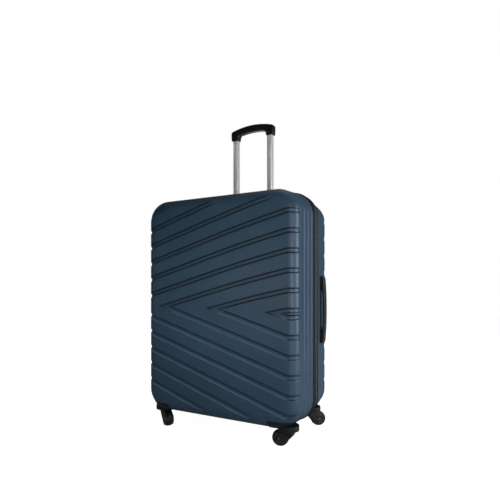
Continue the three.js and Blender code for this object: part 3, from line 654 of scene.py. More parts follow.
def roll(plan, depth):
    """The same points, moved inwards by the channels and by the flutes of the wall."""
    points, direction, angle, down, past = rolled(plan)
    normal = np.column_stack([
        direction[:, 0] * np.sin(angle), -np.cos(angle), direction[:, 1] * np.sin(angle)])
    fade = np.clip(1 - np.abs(direction[:, 1]) * past / CHANNEL_FADE, 0, 1)
    flute = np.zeros(len(plan))
    for centre in FLUTES:
        off = np.abs(down * WALL_DEPTH - centre) / FLUTE_HALF
        groove = FLUTE_DEPTH * np.cos(off * math.pi / 2) ** 2
        flute = np.maximum(flute, np.where(off < 1, groove, 0))
    flute = np.where(down > 0, flute, 0)
    sunk = depth * fade + flute
    return points - normal * sunk[:, None]


# %% Channel lines on the plan
CHANNEL_END = FLAT_X + 49
CHANNEL_PITCH, PITCH_SPREAD = 53.0, 0.006
TIP_X, TIP_Z = 80 - HALF_W / MM, -2.0
LEVEL_X = FLAT_X + 11
RISE, FALL, EASE = 0.282, 0.318, 0.00015
TIP_ROOM = 20                    # stations stay this far from the corner of a chevron
END_PAST_FACE = 12               # an arm stops when it is this far above or below the flat face


def upper_arm(x, number):
    t = min(x, LEVEL_X)
    lift = RISE * (t - TIP_X) - EASE * max(t, 0) ** 2
    return TIP_Z + lift + number * (CHANNEL_PITCH + PITCH_SPREAD * x)


def lower_arm(x, number):
    return TIP_Z - FALL * (min(x, LEVEL_X) - TIP_X) - number * (CHANNEL_PITCH + PITCH_SPREAD * x)


def first_x(x, reached):
    while x < CHANNEL_END and not reached(x):
        x += 0.5
    return x


def arm_stations(start, end):
    turn = np.linspace(FLAT_X, CHANNEL_END, 12)
    middle = np.linspace(-FLAT_X, FLAT_X, 32)[1:-1]
    every = [*(-turn[::-1]), *middle, *turn]
    return [start, *(x for x in every if start + 3 < x < end - 3), end]


def channel_lines():
    lines = []
    for number in (0, -1, -2):
        tip = first_x(TIP_X - TIP_ROOM, lambda x: upper_arm(x, number) >= lower_arm(x, number))
        xs = [x for x in arm_stations(tip, CHANNEL_END) if x == tip or x > tip + TIP_ROOM]
        up = [(x, upper_arm(x, number)) for x in xs]
        lines.append(up[::-1] + [(x, lower_arm(x, number)) for x in xs[1:]])
    for number in range(1, 7):
        end = first_x(-CHANNEL_END, lambda x: upper_arm(x, number) > FLAT_Z + END_PAST_FACE)
        lines.append([(x, upper_arm(x, number)) for x in arm_stations(-CHANNEL_END, end)])
    for number in range(1, 6):
        end = first_x(-CHANNEL_END, lambda x: lower_arm(x, number) < -FLAT_Z - END_PAST_FACE)
        lines.append([(x, lower_arm(x, number)) for x in arm_stations(-CHANNEL_END, end)])
    return [np.array(line) for line in lines]


CHANNELS = channel_lines()
print("channels:", len(CHANNELS))

# %% Loops beside each channel
CHANNEL_PROFILE = [
    (8.6, 0), (7.8, 0.05), (6.9, 0.5), (5.9, 1.6), (5.0, 2.6), (4.2, 2.95), (3.2, 3.0)]
# Painted shade for the channel walls: how much each loop beside a channel darkens the shell's
# colour, by its distance from the line in mm. LIT_FROM is the painted light's direction in the
# plan; walls that face it past FACING_FROM get less, down to LIGHTEST, which is a painted
# highlight. Within END_LENGTH mm of a channel's end, the painted shade is cut to END_SHADE.
PAINTED_WALL_SHADE = {8.6: 0, 7.8: 0.5, 6.9: 1, 5.9: 1, 5.0: 1, 4.2: 0.85, 3.2: 0.15}
LIT_FROM = np.array([0.707, 0.707])
FACING_FROM, FACING_GAIN, LIGHTEST = 0.66, 6.5, -0.6
END_LENGTH, END_SHADE = 10, 0.35


def loop_round(line, off):
    """A closed loop at a distance from a line, mitred at its corners and round at its ends."""
    step = np.diff(line, axis=0)
    step /= np.linalg.norm(step, axis=1)[:, None]
    side = np.column_stack([-step[:, 1], step[:, 0]])
    left, right = [], []
    for i, point in enumerate(line):
        before, after = side[max(i - 1, 0)], side[min(i, len(side) - 1)]
        mitre = before + after
        mitre /= np.linalg.norm(mitre)
        reach = off / abs(mitre @ after)
        left.append(point + mitre * reach)
        right.append(point - mitre * reach)

    def cap(centre, heading):
        turn = math.atan2(heading[1], heading[0])
        angles = turn + np.linspace(math.pi / 2, -math.pi / 2, 6)[1:-1]
        return [centre + off * np.array([math.cos(a), math.sin(a)]) for a in angles]

    return left + cap(line[-1], step[-1]) + right[::-1] + cap(line[0], -step[0])


def wall_shade(loop, line, amount):
    """Painted shade for a channel wall: full away from LIT_FROM, weak at the ends, and below zero
    towards LIT_FROM, where it is a painted highlight.
    """
    ring = np.array(loop)
    a, run = line[:-1], np.diff(line, axis=0)
    t = np.clip(((ring[:, None] - a) * run).sum(-1) / (run * run).sum(-1), 0, 1)
    off = (a + t[..., None] * run) - ring[:, None]
    nearest = np.linalg.norm(off, axis=-1).argmin(1)
    facing = off[np.arange(len(ring)), nearest]
    facing /= np.linalg.norm(facing, axis=1)[:, None]
    to_end = np.linalg.norm(ring[:, None] - line[[0, -1]], axis=-1).min(1)
    near_end = to_end < np.linalg.norm(off[:, 0], axis=-1).min() + END_LENGTH
    towards = np.maximum(facing @ LIT_FROM - FACING_FROM, 0)
    return np.where(near_end, END_SHADE, 1) * amount * np.clip(
        1 - FACING_GAIN * towards, LIGHTEST, 1)


# %% Rounded outlines
QUADRANTS = ((1, 1, 0), (-1, 1, 90), (-1, -1, 180), (1, -1, 270))


def corner_arcs(core_x, core_z, radius, turns):
    """The four corner arcs of a rounded rectangle, round the corners of its core."""
    return [(sx * core_x + radius * math.cos(a), sz * core_z + radius * math.sin(a))
            for sx, sz, start in QUADRANTS
            for a in (math.radians(start + 90 * i / turns) for i in range(turns + 1))]


def filled_in(corners, step, whole):
    """A closed outline with points between its corners; `whole` rounds their number."""
    points = []
    for here, there in zip(corners, corners[1:] + corners[:1]):
        count = max(whole(math.dist(here, there) / step), 1)
        points += [(here[0] + (there[0] - here[0]) * j / count,
                    here[1] + (there[1] - here[1]) * j / count) for j in range(count)]
    return points


def outline_at(past, step):
    """The rounded rectangle at a distance past the flat face, in steps of about `step`."""
    radius = FLAT_CORNER + past
    turns = max(math.ceil(radius * math.pi / 2 / step), 8)
    arcs = corner_arcs(FLAT_X - FLAT_CORNER, FLAT_Z - FLAT_CORNER, radius, turns)
    return filled_in(arcs, step, math.ceil)


def channel_distance(points):
    """Distance of each plan point to the nearest channel line."""
    nearest = np.full(len(points), 1e9)
    for line in CHANNELS:
        a, b = line[:-1], line[1:]
        run = b - a
        t = ((points[:, None] - a) * run).sum(-1) / (run * run).sum(-1)
        foot = a + np.clip(t, 0, 1)[..., None] * run
        nearest = np.minimum(nearest, np.linalg.norm(points[:, None] - foot, axis=-1).min(1))
    return nearest


# %% Triangulated plan
def wall_rings():
    """Distances past the face at which the plan gets a ring of points, closer at each flute."""
    rings = [0, *np.linspace(0, ROLL_LENGTH, 11)[1:]]
    stretch = WALL_LENGTH / WALL_DEPTH
    for centre in FLUTES:
        rings += [ROLL_LENGTH + (centre + off) * stretch for off in (-6, -4, -2, 0, 2, 4, 6)]
    return rings + [ROLL_LENGTH + d * stretch for d in (11, 42, 70, 97)]


def window(x_half, y_low, y_high):
    """A rectangular hole in the top wall, from the depths in y at which it starts and ends."""
    def past(y):
        drop = HALF_D / MM - y
        if drop < FACE_ROLL:
            return FACE_ROLL * math.acos(1 - drop / FACE_ROLL)
        return ROLL_LENGTH + (drop - FACE_ROLL) * WALL_LENGTH / WALL_DEPTH
    low, high = FLAT_Z + past(y_high), FLAT_Z + past(y_low)
    return np.array([(-x_half, low), (x_half, low), (x_half, high), (-x_half, high)])


EDGE_STEP, FIELD_STEP = 9, 13    # mm between the plan's free points, on its rings and its face
CLEAR_OF_CHANNEL = 10.5


def plan_mesh(windows):
    """Points, channel depths, painted wall shade and triangles of the unrolled sheet."""
    points, depths, shades, edges = [], [], [], []

    def add_loop(loop, depth, shade_values=None):
        first = len(points)
        points.extend(tuple(p) for p in loop)
        depths.extend([depth] * len(loop))
        shades.extend([0.0] * len(loop) if shade_values is None else shade_values)
        edges.extend((first + i, first + (i + 1) % len(loop)) for i in range(len(loop)))

    for line in CHANNELS:
        for off, depth in CHANNEL_PROFILE:
            loop = loop_round(line, off)
            add_loop(loop, depth, wall_shade(loop, line, PAINTED_WALL_SHADE[off]))
    free = [p for past in wall_rings() for p in outline_at(past, EDGE_STEP)]
    free += [(x, z) for x in np.arange(6 - FLAT_X, FLAT_X - 5, FIELD_STEP)
             for z in np.arange(6 - FLAT_Z, FLAT_Z - 5, FIELD_STEP)]
    free = np.array(free)
    keep = channel_distance(free) > CLEAR_OF_CHANNEL
    for hole in windows:
        inside = np.all((free > hole[0] - 2) & (free < hole[2] + 2), axis=1)
        keep &= ~inside
    points.extend(map(tuple, free[keep]))
    depths.extend([0.0] * int(keep.sum()))
    shades.extend([0.0] * int(keep.sum()))
    for hole in windows:
        add_loop(hole, 0.0)
    add_loop(outline_at(ROLL_LENGTH + WALL_LENGTH, EDGE_STEP), 0.0)
    flat, _, faces, origin, _, _ = delaunay_2d_cdt(
        [Vector(map(float, p)) for p in points], edges, [], 0, 1e-4, True)
    flat = np.array([tuple(p) for p in flat])
    depth = np.array([max((depths[i] for i in source), default=0.0) for source in origin])
    # A merged point keeps the strongest painted shade or painted highlight of the loop points it
    # came from.
    painted_shade = np.array([max((shades[i] for i in source), key=abs, default=0.0)
                       for source in origin])
    faces = np.array(faces)
    centre = flat[faces].mean(axis=1)
    for hole in windows:
        inside = np.all((centre > hole[0]) & (centre < hole[2]), axis=1)
        faces, centre = faces[~inside], centre[~inside]
    return flat, depth, painted_shade, faces


# %% Roll the plans and give them a thickness
def shell_mesh(name, side, windows):
    flat, depth, painted_shade, faces = plan_mesh(windows)
    points = roll(flat, depth)
    points[:, 1] *= -side
    if side > 0:
        faces = faces[:, ::-1]
    place = points * MM + np.array([CASE_X, 0, CASE_Z])
    mesh = mesh_of(name, place, faces)
    # The painted shade goes on the mesh as a point attribute, which the shell's colour is darkened
    # and lightened by.
    layer = mesh.attributes.new("painted_channel_shade", "FLOAT", "POINT")
    layer.data.foreach_set("value", painted_shade.astype(np.float32))
    return mesh


def thicken(obj, thickness, inside_slot=0):
    """Builds a sheet's thickness inwards, and names the material slot of its inner face."""
    sheet = obj.modifiers.new("thickness", "SOLIDIFY")
    sheet.thickness = thickness
    sheet.offset = -1
    sheet.material_offset = inside_slot


SHELL_THICKNESS = 0.003


def add_shell(name, node, body, side, windows=()):
    mesh = shell_mesh(name, side, windows)
    obj = make(name, mesh, SHELL_BLUE, body, "shell_blue", (node,), 40)
    obj.data.materials.append(SHELL_INSIDE)
    thicken(obj, SHELL_THICKNESS, inside_slot=1)
    print(name, len(mesh.polygons), "triangles before its thickness")


WELL_LOW, WELL_HIGH, _, WELL_SIZE = size_of("trolley_well")
LOCK_LOW, LOCK_HIGH, _, LOCK_SIZE = size_of("lock_case")
BEZEL_LIP, LOCK_LIP = 3.7, 3.0
well_window = window(
    WELL_SIZE.x / 2 / MM - BEZEL_LIP, WELL_LOW.y / MM + BEZEL_LIP, WELL_HIGH.y / MM - BEZEL_LIP)
lock_window = window(
    LOCK_SIZE.x / 2 / MM - LOCK_LIP, LOCK_LOW.y / MM + LOCK_LIP, LOCK_HIGH.y / MM - LOCK_LIP)
add_shell("front_half_shell", "front_shell", "front", -1)
add_shell("rear_half_shell", "rear_shell", "root", 1, (well_window, lock_window))

# %% [markdown]
# ## Piping and zip
# A rubber bead runs round the rim of each half, and between the beads lie two strips of woven tape
# with the coil teeth of the zip on their facing edges. Bead, tape and teeth all follow the same
# closed line, so they come from Geometry Nodes: one tree sweeps a section along the line, and
# another sets small pieces at even steps along it. The trees end in Realize Instances and Set
# Material, and their result is kept as a plain mesh.


# %% Geometry Nodes helpers
def new_tree(name, inputs):
    """A modifier tree with a Geometry input, and the named inputs given as (name, type, value)."""
    tree = bpy.data.node_groups.new(name, "GeometryNodeTree")
    tree.interface.new_socket("Geometry", in_out="INPUT", socket_type="NodeSocketGeometry")
    for label, kind, value in inputs:
        socket = tree.interface.new_socket(label, in_out="INPUT", socket_type=kind)
        if value is not None:
            socket.default_value = value
    tree.interface.new_socket("Geometry", in_out="OUTPUT", socket_type="NodeSocketGeometry")
    return tree, tree.nodes.new("NodeGroupInput"), tree.nodes.new("NodeGroupOutput")


def identifier(tree, label):
    return next(item.identifier for item in tree.interface.items_tree
                if item.item_type == "SOCKET" and item.in_out == "INPUT" and item.name == label)


def run_tree(name, tree, mesh, settings):
    """Puts a tree on a mesh with its inputs set, and returns the plain mesh that it makes."""
    obj = link(bpy.data.objects.new(name, mesh))
    modifier = obj.modifiers.new("nodes", "NODES")
    modifier.node_group = tree
    for label, value in settings.items():
        modifier[identifier(tree, label)] = value
    bake(obj)
    made = obj.data
    bpy.data.objects.remove(obj)
    return made


def closing(tree, geometry, material_socket, leave):
    realized = add(tree, "GeometryNodeRealizeInstances", {"Geometry": geometry})
    painted = add(tree, "GeometryNodeSetMaterial", {
        "Geometry": realized.outputs[0], "Material": material_socket})
    tree.links.new(painted.outputs[0], leave.inputs[0])


def sweep_tree():
    """A round section swept along a line of edges."""
    tree, enter, leave = new_tree("swept_bead", [
        ("Radius", "NodeSocketFloat", 0.002), ("Sides", "NodeSocketInt", 12),
        ("Material", "NodeSocketMaterial", None)])
    line = add(tree, "GeometryNodeMeshToCurve", {"Mesh": enter.outputs["Geometry"]})
    section = add(tree, "GeometryNodeCurvePrimitiveCircle", {
        "Radius": enter.outputs["Radius"], "Resolution": enter.outputs["Sides"]})
    swept = add(tree, "GeometryNodeCurveToMesh", {
        "Curve": line.outputs[0], "Profile Curve": section.outputs[0], "Fill Caps": True})
    soft = add(tree, "GeometryNodeSetShadeSmooth", {"Geometry": swept.outputs[0]})
    closing(tree, soft.outputs[0], enter.outputs["Material"], leave)
    return tree


def row_tree():
    """Small rounded pegs set along a line at even steps, each laid across or along the line."""
    tree, enter, leave = new_tree("row_of_pegs", [
        ("Step", "NodeSocketFloat", 0.0015), ("Length", "NodeSocketFloat", 0.002),
        ("Thickness", "NodeSocketFloat", 0.0006), ("Direction", "NodeSocketVector", (0, 1, 0)),
        ("Along", "NodeSocketFloat", 0.0),
        ("Material", "NodeSocketMaterial", None)])
    line = add(tree, "GeometryNodeMeshToCurve", {"Mesh": enter.outputs["Geometry"]})
    spots = add(tree, "GeometryNodeResampleCurve", {
        "Curve": line.outputs[0], "Length": enter.outputs["Step"]}, mode="LENGTH")
    peg = add(tree, "GeometryNodeMeshCylinder", {
        "Vertices": 6, "Side Segments": 2, "Fill Segments": 1,
        "Radius": enter.outputs["Thickness"], "Depth": enter.outputs["Length"]})
    place = tree.nodes.new("GeometryNodeInputPosition")
    spread = add(tree, "ShaderNodeSeparateXYZ", {"Vector": place.outputs[0]})
    middle = maths(tree, "DIVIDE", maths(tree, "MULTIPLY", spread.outputs["Z"], 2.0),
                   enter.outputs["Length"])
    taper = maths(tree, "SUBTRACT", 1.0, maths(tree, "MULTIPLY", 0.45, maths(
        tree, "MULTIPLY", middle, middle)))
    shape = add(tree, "ShaderNodeCombineXYZ", {
        0: maths(tree, "MULTIPLY", spread.outputs["X"], taper),
        1: maths(tree, "MULTIPLY", spread.outputs["Y"], taper), 2: spread.outputs["Z"]})
    rounded = add(tree, "GeometryNodeSetPosition", {
        "Geometry": peg.outputs["Mesh"], "Position": shape.outputs[0]})
    soft = add(tree, "GeometryNodeSetShadeSmooth", {"Geometry": rounded.outputs[0]})
    run = add(tree, "ShaderNodeVectorMath", {
        0: tree.nodes.new("GeometryNodeInputTangent").outputs[0],
        "Scale": enter.outputs["Along"]}, operation="SCALE")
    heading = add(tree, "ShaderNodeVectorMath", {
        0: enter.outputs["Direction"], 1: run.outputs[0]}, operation="ADD")
    turn = add(tree, "FunctionNodeAlignRotationToVector", {
        "Vector": heading.outputs[0]}, axis="Z")
    pegs = add(tree, "GeometryNodeInstanceOnPoints", {
        "Points": spots.outputs[0], "Instance": soft.outputs[0], "Rotation": turn.outputs[0]})
    closing(tree, pegs.outputs[0], enter.outputs["Material"], leave)
    return tree


SWEEP, ROW = sweep_tree(), row_tree()


# %% Lines round the rim
def rim_line(inset, y, step=6):
    """The rim outline, in metres, moved inwards by `inset` mm, as a ring of points at depth y."""
    half_x, half_z, radius = HALF_W / MM - inset, HALF_H / MM - inset, CORNER - inset
    arcs = corner_arcs(half_x - radius, half_z - radius, radius, 16)
    return [Vector((x * MM + CASE_X, y * MM, z * MM + CASE_Z))
            for x, z in filled_in(arcs, step, round)]


def line_mesh(name, points, closed=True):
    mesh = bpy.data.meshes.new(name)
    count = len(points)
    edges = [(i, (i + 1) % count) for i in range(count if closed else count - 1)]
    mesh.from_pydata([tuple(p) for p in points], edges, [])
    return mesh


def peg_row(name, line, step, length, thickness, direction, along, material):
    """Pegs along a line mesh, as the plain mesh that ROW makes of it."""
    return run_tree(name, ROW, line, {
        "Step": step, "Length": length, "Thickness": thickness, "Direction": direction,
        "Along": along, "Material": material})


HINGE_ZONE = 0.01                # this near the hinge side, a point belongs to the hinge


def open_at_hinge(points):
    """The part of a rim line outside the hinge, in order from below it round to above it."""
    low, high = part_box("hinge_gusset")
    at_hinge = [p.x < CASE_X - HALF_W + HINGE_ZONE and low.z < p.z < high.z for p in points]
    first = next(i for i, here in enumerate(at_hinge)
                 if here and not at_hinge[(i + 1) % len(points)])
    turn = [(i + first + 1) % len(points) for i in range(len(points))]
    return [points[i] for i in turn if not at_hinge[i]]


# %% Piping
def flush_at_hinge(points, proud):
    """Moves points on the hinge side inwards by `proud` mm, so that the halves can fold there."""
    for p in points:
        near_hinge = min(max((CASE_X - HALF_W + 0.03 - p.x) / 0.02, 0), 1)
        p.x += proud * MM * near_hinge
    return points


BEAD_RADIUS = 0.0026
BEAD_PROUD = 2.8                 # mm beyond the shell's rim, but flush beside the hinge

for side, body, node in ((-1, "front", "front_piping"), (1, "root", "rear_piping")):
    _, _, mid, _ = size_of(node)
    ring = rim_line(-BEAD_PROUD + BEAD_RADIUS / MM, mid.y / MM)
    ring = flush_at_hinge(ring, BEAD_PROUD + 0.2)
    bead = run_tree(node, SWEEP, line_mesh(node, ring), {
        "Radius": BEAD_RADIUS, "Sides": 16, "Material": PIPING})
    make(f"{node}_bead", bead, PIPING, body, "piping_black", (node,), 80)
print("piping:", len(bead.polygons), "faces a bead")


# %% Ribbon
def ribbon(name, lines, thickness, uv_width):
    """A closed strip through several parallel open lines, with a thickness towards the case."""
    columns = len(lines[0])
    verts, uvs = [], []
    travelled = [0.0]
    for a, b in zip(lines[0], lines[0][1:]):
        travelled.append(travelled[-1] + (b - a).length)
    centre = Vector((CASE_X, 0, CASE_Z))
    for depth in (0, thickness):
        for r, line in enumerate(lines):
            for c, p in enumerate(line):
                back, ahead = line[max(c - 1, 0)], line[min(c + 1, columns - 1)]
                inward = Vector((0, 1, 0)).cross(ahead - back).normalized()
                if inward.dot(centre - p) < 0:
                    inward = -inward
                verts.append(p + inward * depth)
                uvs.append((travelled[c], uv_width * r / (len(lines) - 1)))
    rows = len(lines)
    layer = rows * columns
    faces = grid_faces(rows, columns)
    faces += [tuple(i + layer for i in reversed(f)) for f in grid_faces(rows, columns)]
    for c in range(columns - 1):
        faces.append((c + 1, c, c + layer, c + 1 + layer))
        last = (rows - 1) * columns
        faces.append((last + c, last + c + 1, last + c + 1 + layer, last + c + layer))
    for r in range(rows - 1):
        a, b = r * columns, (r + 1) * columns
        faces.append((a, b, b + layer, a + layer))
        a, b = a + columns - 1, b + columns - 1
        faces.append((b, a, a + layer, b + layer))
    mesh = mesh_of(name, verts, faces, uvs)
    outward(mesh)
    return mesh


# %% Zip tapes, teeth and stitches
TAPE_LOW, TAPE_HIGH, _, _ = size_of("front_zip_tape")
TAPE_INSET = (TAPE_LOW.x - (CASE_X - HALF_W)) / MM
TAPE_PROUD = 1.9                 # the woven tape bows out between the beads by this much
TAPE_SURFACE = TAPE_INSET - TAPE_PROUD
TAPE_THICKNESS, TAPE_WIDTH = 0.0013, 0.009
TAPE_BULGE = (0.2, 0, 0, 0.1, 0.35, 0.25, 0.3)
TOOTH = (0.0016, 0.0027, 0.00062, (0, 1, 0), 0.0)          # step, length, radius, direction, along
TAPE_STITCH = (0.0034, 0.0025, 0.00028, (0, 0, 0), 1.0)
STITCH_ROWS = (("inner", 3.4), ("outer", 8.3))

for side, body, node in ((-1, "front", "front_zip_tape"), (1, "root", "rear_zip_tape")):
    inner, outer = -TAPE_HIGH.y / MM, -TAPE_LOW.y / MM
    depths = [side * y for y in (inner, inner + 1, 2.6, 4, 6, 8, outer)]
    lines = [open_at_hinge(flush_at_hinge(rim_line(TAPE_SURFACE + b, y), TAPE_PROUD))
             for b, y in zip(TAPE_BULGE, depths)]
    make(f"{node}_cloth", ribbon(node, lines, TAPE_THICKNESS, TAPE_WIDTH), TAPE, body,
         "tape_brown", (node,), 60)
    teeth = flush_at_hinge(rim_line(TAPE_SURFACE - 0.1, side * 1.25, 3), TAPE_PROUD)
    if side > 0:
        teeth = [(a + b) / 2 for a, b in zip(teeth, teeth[1:] + teeth[:1])]
    rows = [("teeth", teeth, TOOTH, PIPING)]
    for row, y in STITCH_ROWS:
        seam = flush_at_hinge(rim_line(TAPE_SURFACE + 0.15, side * y, 3), TAPE_PROUD)
        rows.append((f"stitches_{row}", seam, TAPE_STITCH, THREAD_FINISH))
    for name, line, pegs, material in rows:
        mesh = peg_row(name, line_mesh(name, open_at_hinge(line), False), *pegs, material)
        make(f"{node}_{name}", mesh, material, body, "piping_black", (), 80)
        print(node, name, len(mesh.polygons), "faces")


# %% [markdown]
# ## Rim trims
# Outside each bead a low black band covers the edge of the shell. It follows the rim all the way
# round, so the ribbon that made the tapes makes it too, with its first point repeated at its end.

# %% Rim trims
TRIM_PROUD, TRIM_START = 0.9, 13.2               # mm beyond the shell, and from the seam's middle
TRIM_THICKNESS = 0.0006
for side, body, width in ((-1, "front", 11.5), (1, "root", 7.5)):
    depths = [side * (TRIM_START + width * t) for t in (0, 0.06, 0.5, 0.94, 1)]
    rises = (-0.1, TRIM_PROUD - 0.1, TRIM_PROUD, TRIM_PROUD - 0.1, -0.1)
    ring = [flush_at_hinge(rim_line(-h, y), TRIM_PROUD) for h, y in zip(rises, depths)]
    lines = [loop[-1:] + loop for loop in ring]
    trim = ribbon(f"{body}_rim_trim", lines, TRIM_THICKNESS, width * MM)
    make(f"{body}_rim_trim", trim, PIPING, body, "piping_black", (), 50)
    print(body, "rim trim", f"{width} mm wide")

# %% [markdown]
# ## Hinge gusset
# On the real case the zip stops short of the left side, and a strip of cloth joins the halves
# there and stays sewn to both of them as the case opens. Here it is one narrow ribbon of shallow
# upright ribs over the gap between the halves, and rides on neither half.

# %% Gusset ribbon
GUSSET_LOW, GUSSET_HIGH, GUSSET_MID, GUSSET_SIZE = size_of("hinge_gusset")


GUSSET_RIB, GUSSET_THICKNESS = 0.0004, 0.0009


def gusset_lines(count=15, steps=64):
    """Upright lines side by side over the gap between the halves, shaped into shallow ribs."""
    lines = []
    for i in range(count):
        across = -1 + 2 * i / (count - 1)
        y = GUSSET_MID.y + across * GUSSET_SIZE.y / 2
        rib = GUSSET_RIB * math.cos(across * math.pi * 3)
        x = GUSSET_LOW.x + GUSSET_RIB + rib * (1 - across * across)
        lines.append([Vector((x, y, GUSSET_LOW.z + GUSSET_SIZE.z * k / steps))
                      for k in range(steps + 1)])
    return lines


gusset = link(bpy.data.objects.new(
    "hinge_gusset_cloth", ribbon("gusset", gusset_lines(), GUSSET_THICKNESS, GUSSET_SIZE.y)))
gusset.data.materials.append(GUSSET)
smooth(gusset, 60)
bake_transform(gusset)
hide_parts("hinge_gusset")
print("gusset", len(gusset.data.polygons), "faces")

# %% [markdown]
# ## Release spring
# Under the button in the grip sits a small coil spring. One end stays with the grip and the other
# goes down with the button. Here its wire is swept along a helix, and the coil rides on no body.

# %% Coil
SPRING_LOW, SPRING_HIGH, SPRING_MID, _ = size_of("release_spring")
WIRE, COIL, TURNS = 0.00045, 0.0024, 4
coil = [Vector((SPRING_MID.x + COIL * math.cos(2 * math.pi * TURNS * t),
                SPRING_MID.y + COIL * math.sin(2 * math.pi * TURNS * t),
                SPRING_LOW.z + WIRE + (SPRING_HIGH.z - SPRING_LOW.z - 2 * WIRE) * t))
        for t in np.linspace(0, 1, 24 * TURNS + 1)]
spring = link(bpy.data.objects.new("release_spring_coil", run_tree(
    "coil", SWEEP, line_mesh("coil", coil, False), {
        "Radius": WIRE, "Sides": 8, "Material": STEEL})))
smooth(spring, 80)
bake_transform(spring)
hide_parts("release_spring")
print("spring:", TURNS, "turns")

# %% [markdown]
# ## Small moulded pieces
# Many pieces already have the right outline in the frame and only lack the small radii that a
# mould or a stamping leaves. For those the frame's mesh is copied, its triangles are merged back
# into flat faces, and every sharp edge is rounded. The frame's own mesh is left as it is.


# %% Soften a frame node
def soften(node, material, finish, radius):
    """A rounded copy of a frame node that stands for it and rides on the same body."""
    mesh = bevelled(frame_copy(node), radius)
    body = next(b for b, members in frame["record"]["behaviour"]["bodies"].items()
                if node in members)
    make(f"{node}_soft", mesh, material, body, finish, (node,), 38)


for node, material, finish, radius in (
    ("trolley_well", BLACK_PLASTIC, "black_plastic", 0.0009),
    ("trolley_foot", BLACK_PLASTIC, "black_plastic", 0.0012),
    ("lock_case", BLACK_PLASTIC, "black_plastic", 0.0006),
    ("lock_button", STEEL, "steel", 0.0006),
    ("strap_buckle", BLACK_PLASTIC, "black_plastic", 0.0012),
    ("zip_slider_left", STEEL, "steel", 0.0004),
    ("zip_slider_right", STEEL, "steel", 0.0004),
    ("release_button", BLACK_PLASTIC, "black_plastic", 0.0006),
):
    soften(node, material, finish, radius)
for node in ("side_handle_mount_lower", "side_handle_mount_upper",
             "top_handle_mount_left", "top_handle_mount_right"):
    soften(node, HANDLE_RUBBER, "handle_rubber", 0.0008)
for node in ("zip_pull_left", "zip_pull_right"):
    soften(node, STEEL, "steel", 0.00035)
CORNERS = ("front_right", "front_left", "rear_right", "rear_left")
for corner in CORNERS:
    soften(f"caster_housing_{corner}", BLACK_PLASTIC, "black_plastic", 0.0008)
    soften(f"caster_fork_{corner}", BLACK_PLASTIC, "black_plastic", 0.0007)
print("softened pieces:", sum("_soft" in o.name for o in bpy.data.objects))

# %% [markdown]
# ## Trolley grip and tubes
# The grip is a black arch in two halves that are screwed together round the tubes. Its edges are
# fully rounded for the hand, so each half is built as a stack of outlines that shrink towards the
# outer face along a quarter circle. The tubes are extruded aluminium with shallow flutes.

# %% Grip outline
GRIP_LOW, GRIP_HIGH, GRIP_MID, GRIP_SIZE = size_of("grip_front")
BACK_LOW, BACK_HIGH, _, _ = size_of("grip_back")
GRIP_HALF = GRIP_SIZE.x / 2 / MM
CROWN, BAR, END, END_RISE = 13.5, 23.0, 31.0, 32.5


def arc(cx, cy, radius, start, end, steps=5):
    return [(cx + radius * math.cos(math.radians(a)), cy + radius * math.sin(math.radians(a)))
            for a in np.linspace(start, end, steps)]


def mirrored(points):
    return [(-x, z) for x, z in reversed(points)]


def grip_outline():
    """The arch in mm: x from the middle, z from the underside of its ends."""
    def crown(x):
        return CROWN * (1 - (x / GRIP_HALF) ** 2)
    top = [(x, END_RISE + crown(x)) for x in np.linspace(7 - GRIP_HALF, GRIP_HALF - 7, 27)]
    reach = GRIP_HALF - END
    under = [(x, END_RISE + crown(x) - BAR) for x in np.linspace(reach - 6, 6 - reach, 21)]
    shoulder = END_RISE + crown(GRIP_HALF - 7)
    right = arc(GRIP_HALF - 6, shoulder - 6.6, 5.6, 70, 0, 7) + [(GRIP_HALF - 0.4, 16)]
    toe = arc(GRIP_HALF - 6, 5, 5, 0, -90, 7)
    heel = arc(reach + 7, 5, 5, -90, -180, 7)
    inner_right = [(reach + 1.4, 10), (reach + 0.6, END_RISE - 19), (reach - 1.2, END_RISE - 15.2),
                   (reach - 3.6, END_RISE - 12.8)]
    half = right + toe + heel + inner_right
    return top + half + under + mirrored(half)


def inset_outline(outline, amount):
    """Moves each outline point inwards along the mean normal of its two sides."""
    ring = np.array(outline)
    ahead, behind = np.roll(ring, -1, 0) - ring, ring - np.roll(ring, 1, 0)
    ahead /= np.linalg.norm(ahead, axis=1)[:, None]
    behind /= np.linalg.norm(behind, axis=1)[:, None]
    tangent = ahead + behind
    tangent /= np.linalg.norm(tangent, axis=1)[:, None]
    normal = np.column_stack([tangent[:, 1], -tangent[:, 0]])
    return ring + normal * amount


def lofted(name, verts, rings, columns):
    """A closed mesh through rings of points, with a cap on its first and last ring."""
    faces = grid_faces(rings, columns, True)
    faces += [tuple(range(columns)), tuple(range((rings - 1) * columns, rings * columns))]
    mesh = mesh_of(name, verts, faces)
    outward(mesh)
    return mesh


def grip_half(name, split, outer, radius=4.4, seam=0.3):
    """One half of the grip, from the parting plane out to its rounded face."""
    outline = grip_outline()
    toward = 1 if outer > split else -1
    stack = [(split, seam), (split + toward * seam * MM, 0.0)]
    for a in np.linspace(0, 90, 8):
        drop = radius * (1 - math.cos(math.radians(a)))
        stack.append((outer - toward * (radius - radius * math.sin(math.radians(a))) * MM, drop))
    verts = []
    for y, drop in stack:
        for x, z in inset_outline(outline, drop):
            verts.append((GRIP_MID.x + x * MM, y, GRIP_LOW.z + z * MM))
    return lofted(name, verts, len(stack), len(outline))


for name, split, outer in (("grip_front", GRIP_HIGH.y, GRIP_LOW.y),
                           ("grip_back", BACK_LOW.y, BACK_HIGH.y)):
    make(f"{name}_arch", grip_half(name, split, outer), GRIP_PLASTIC, "trolley",
         "black_plastic", (name,), 32)
print("grip", f"{2 * GRIP_HALF:.0f} mm long,", len(grip_outline()), "points round it")


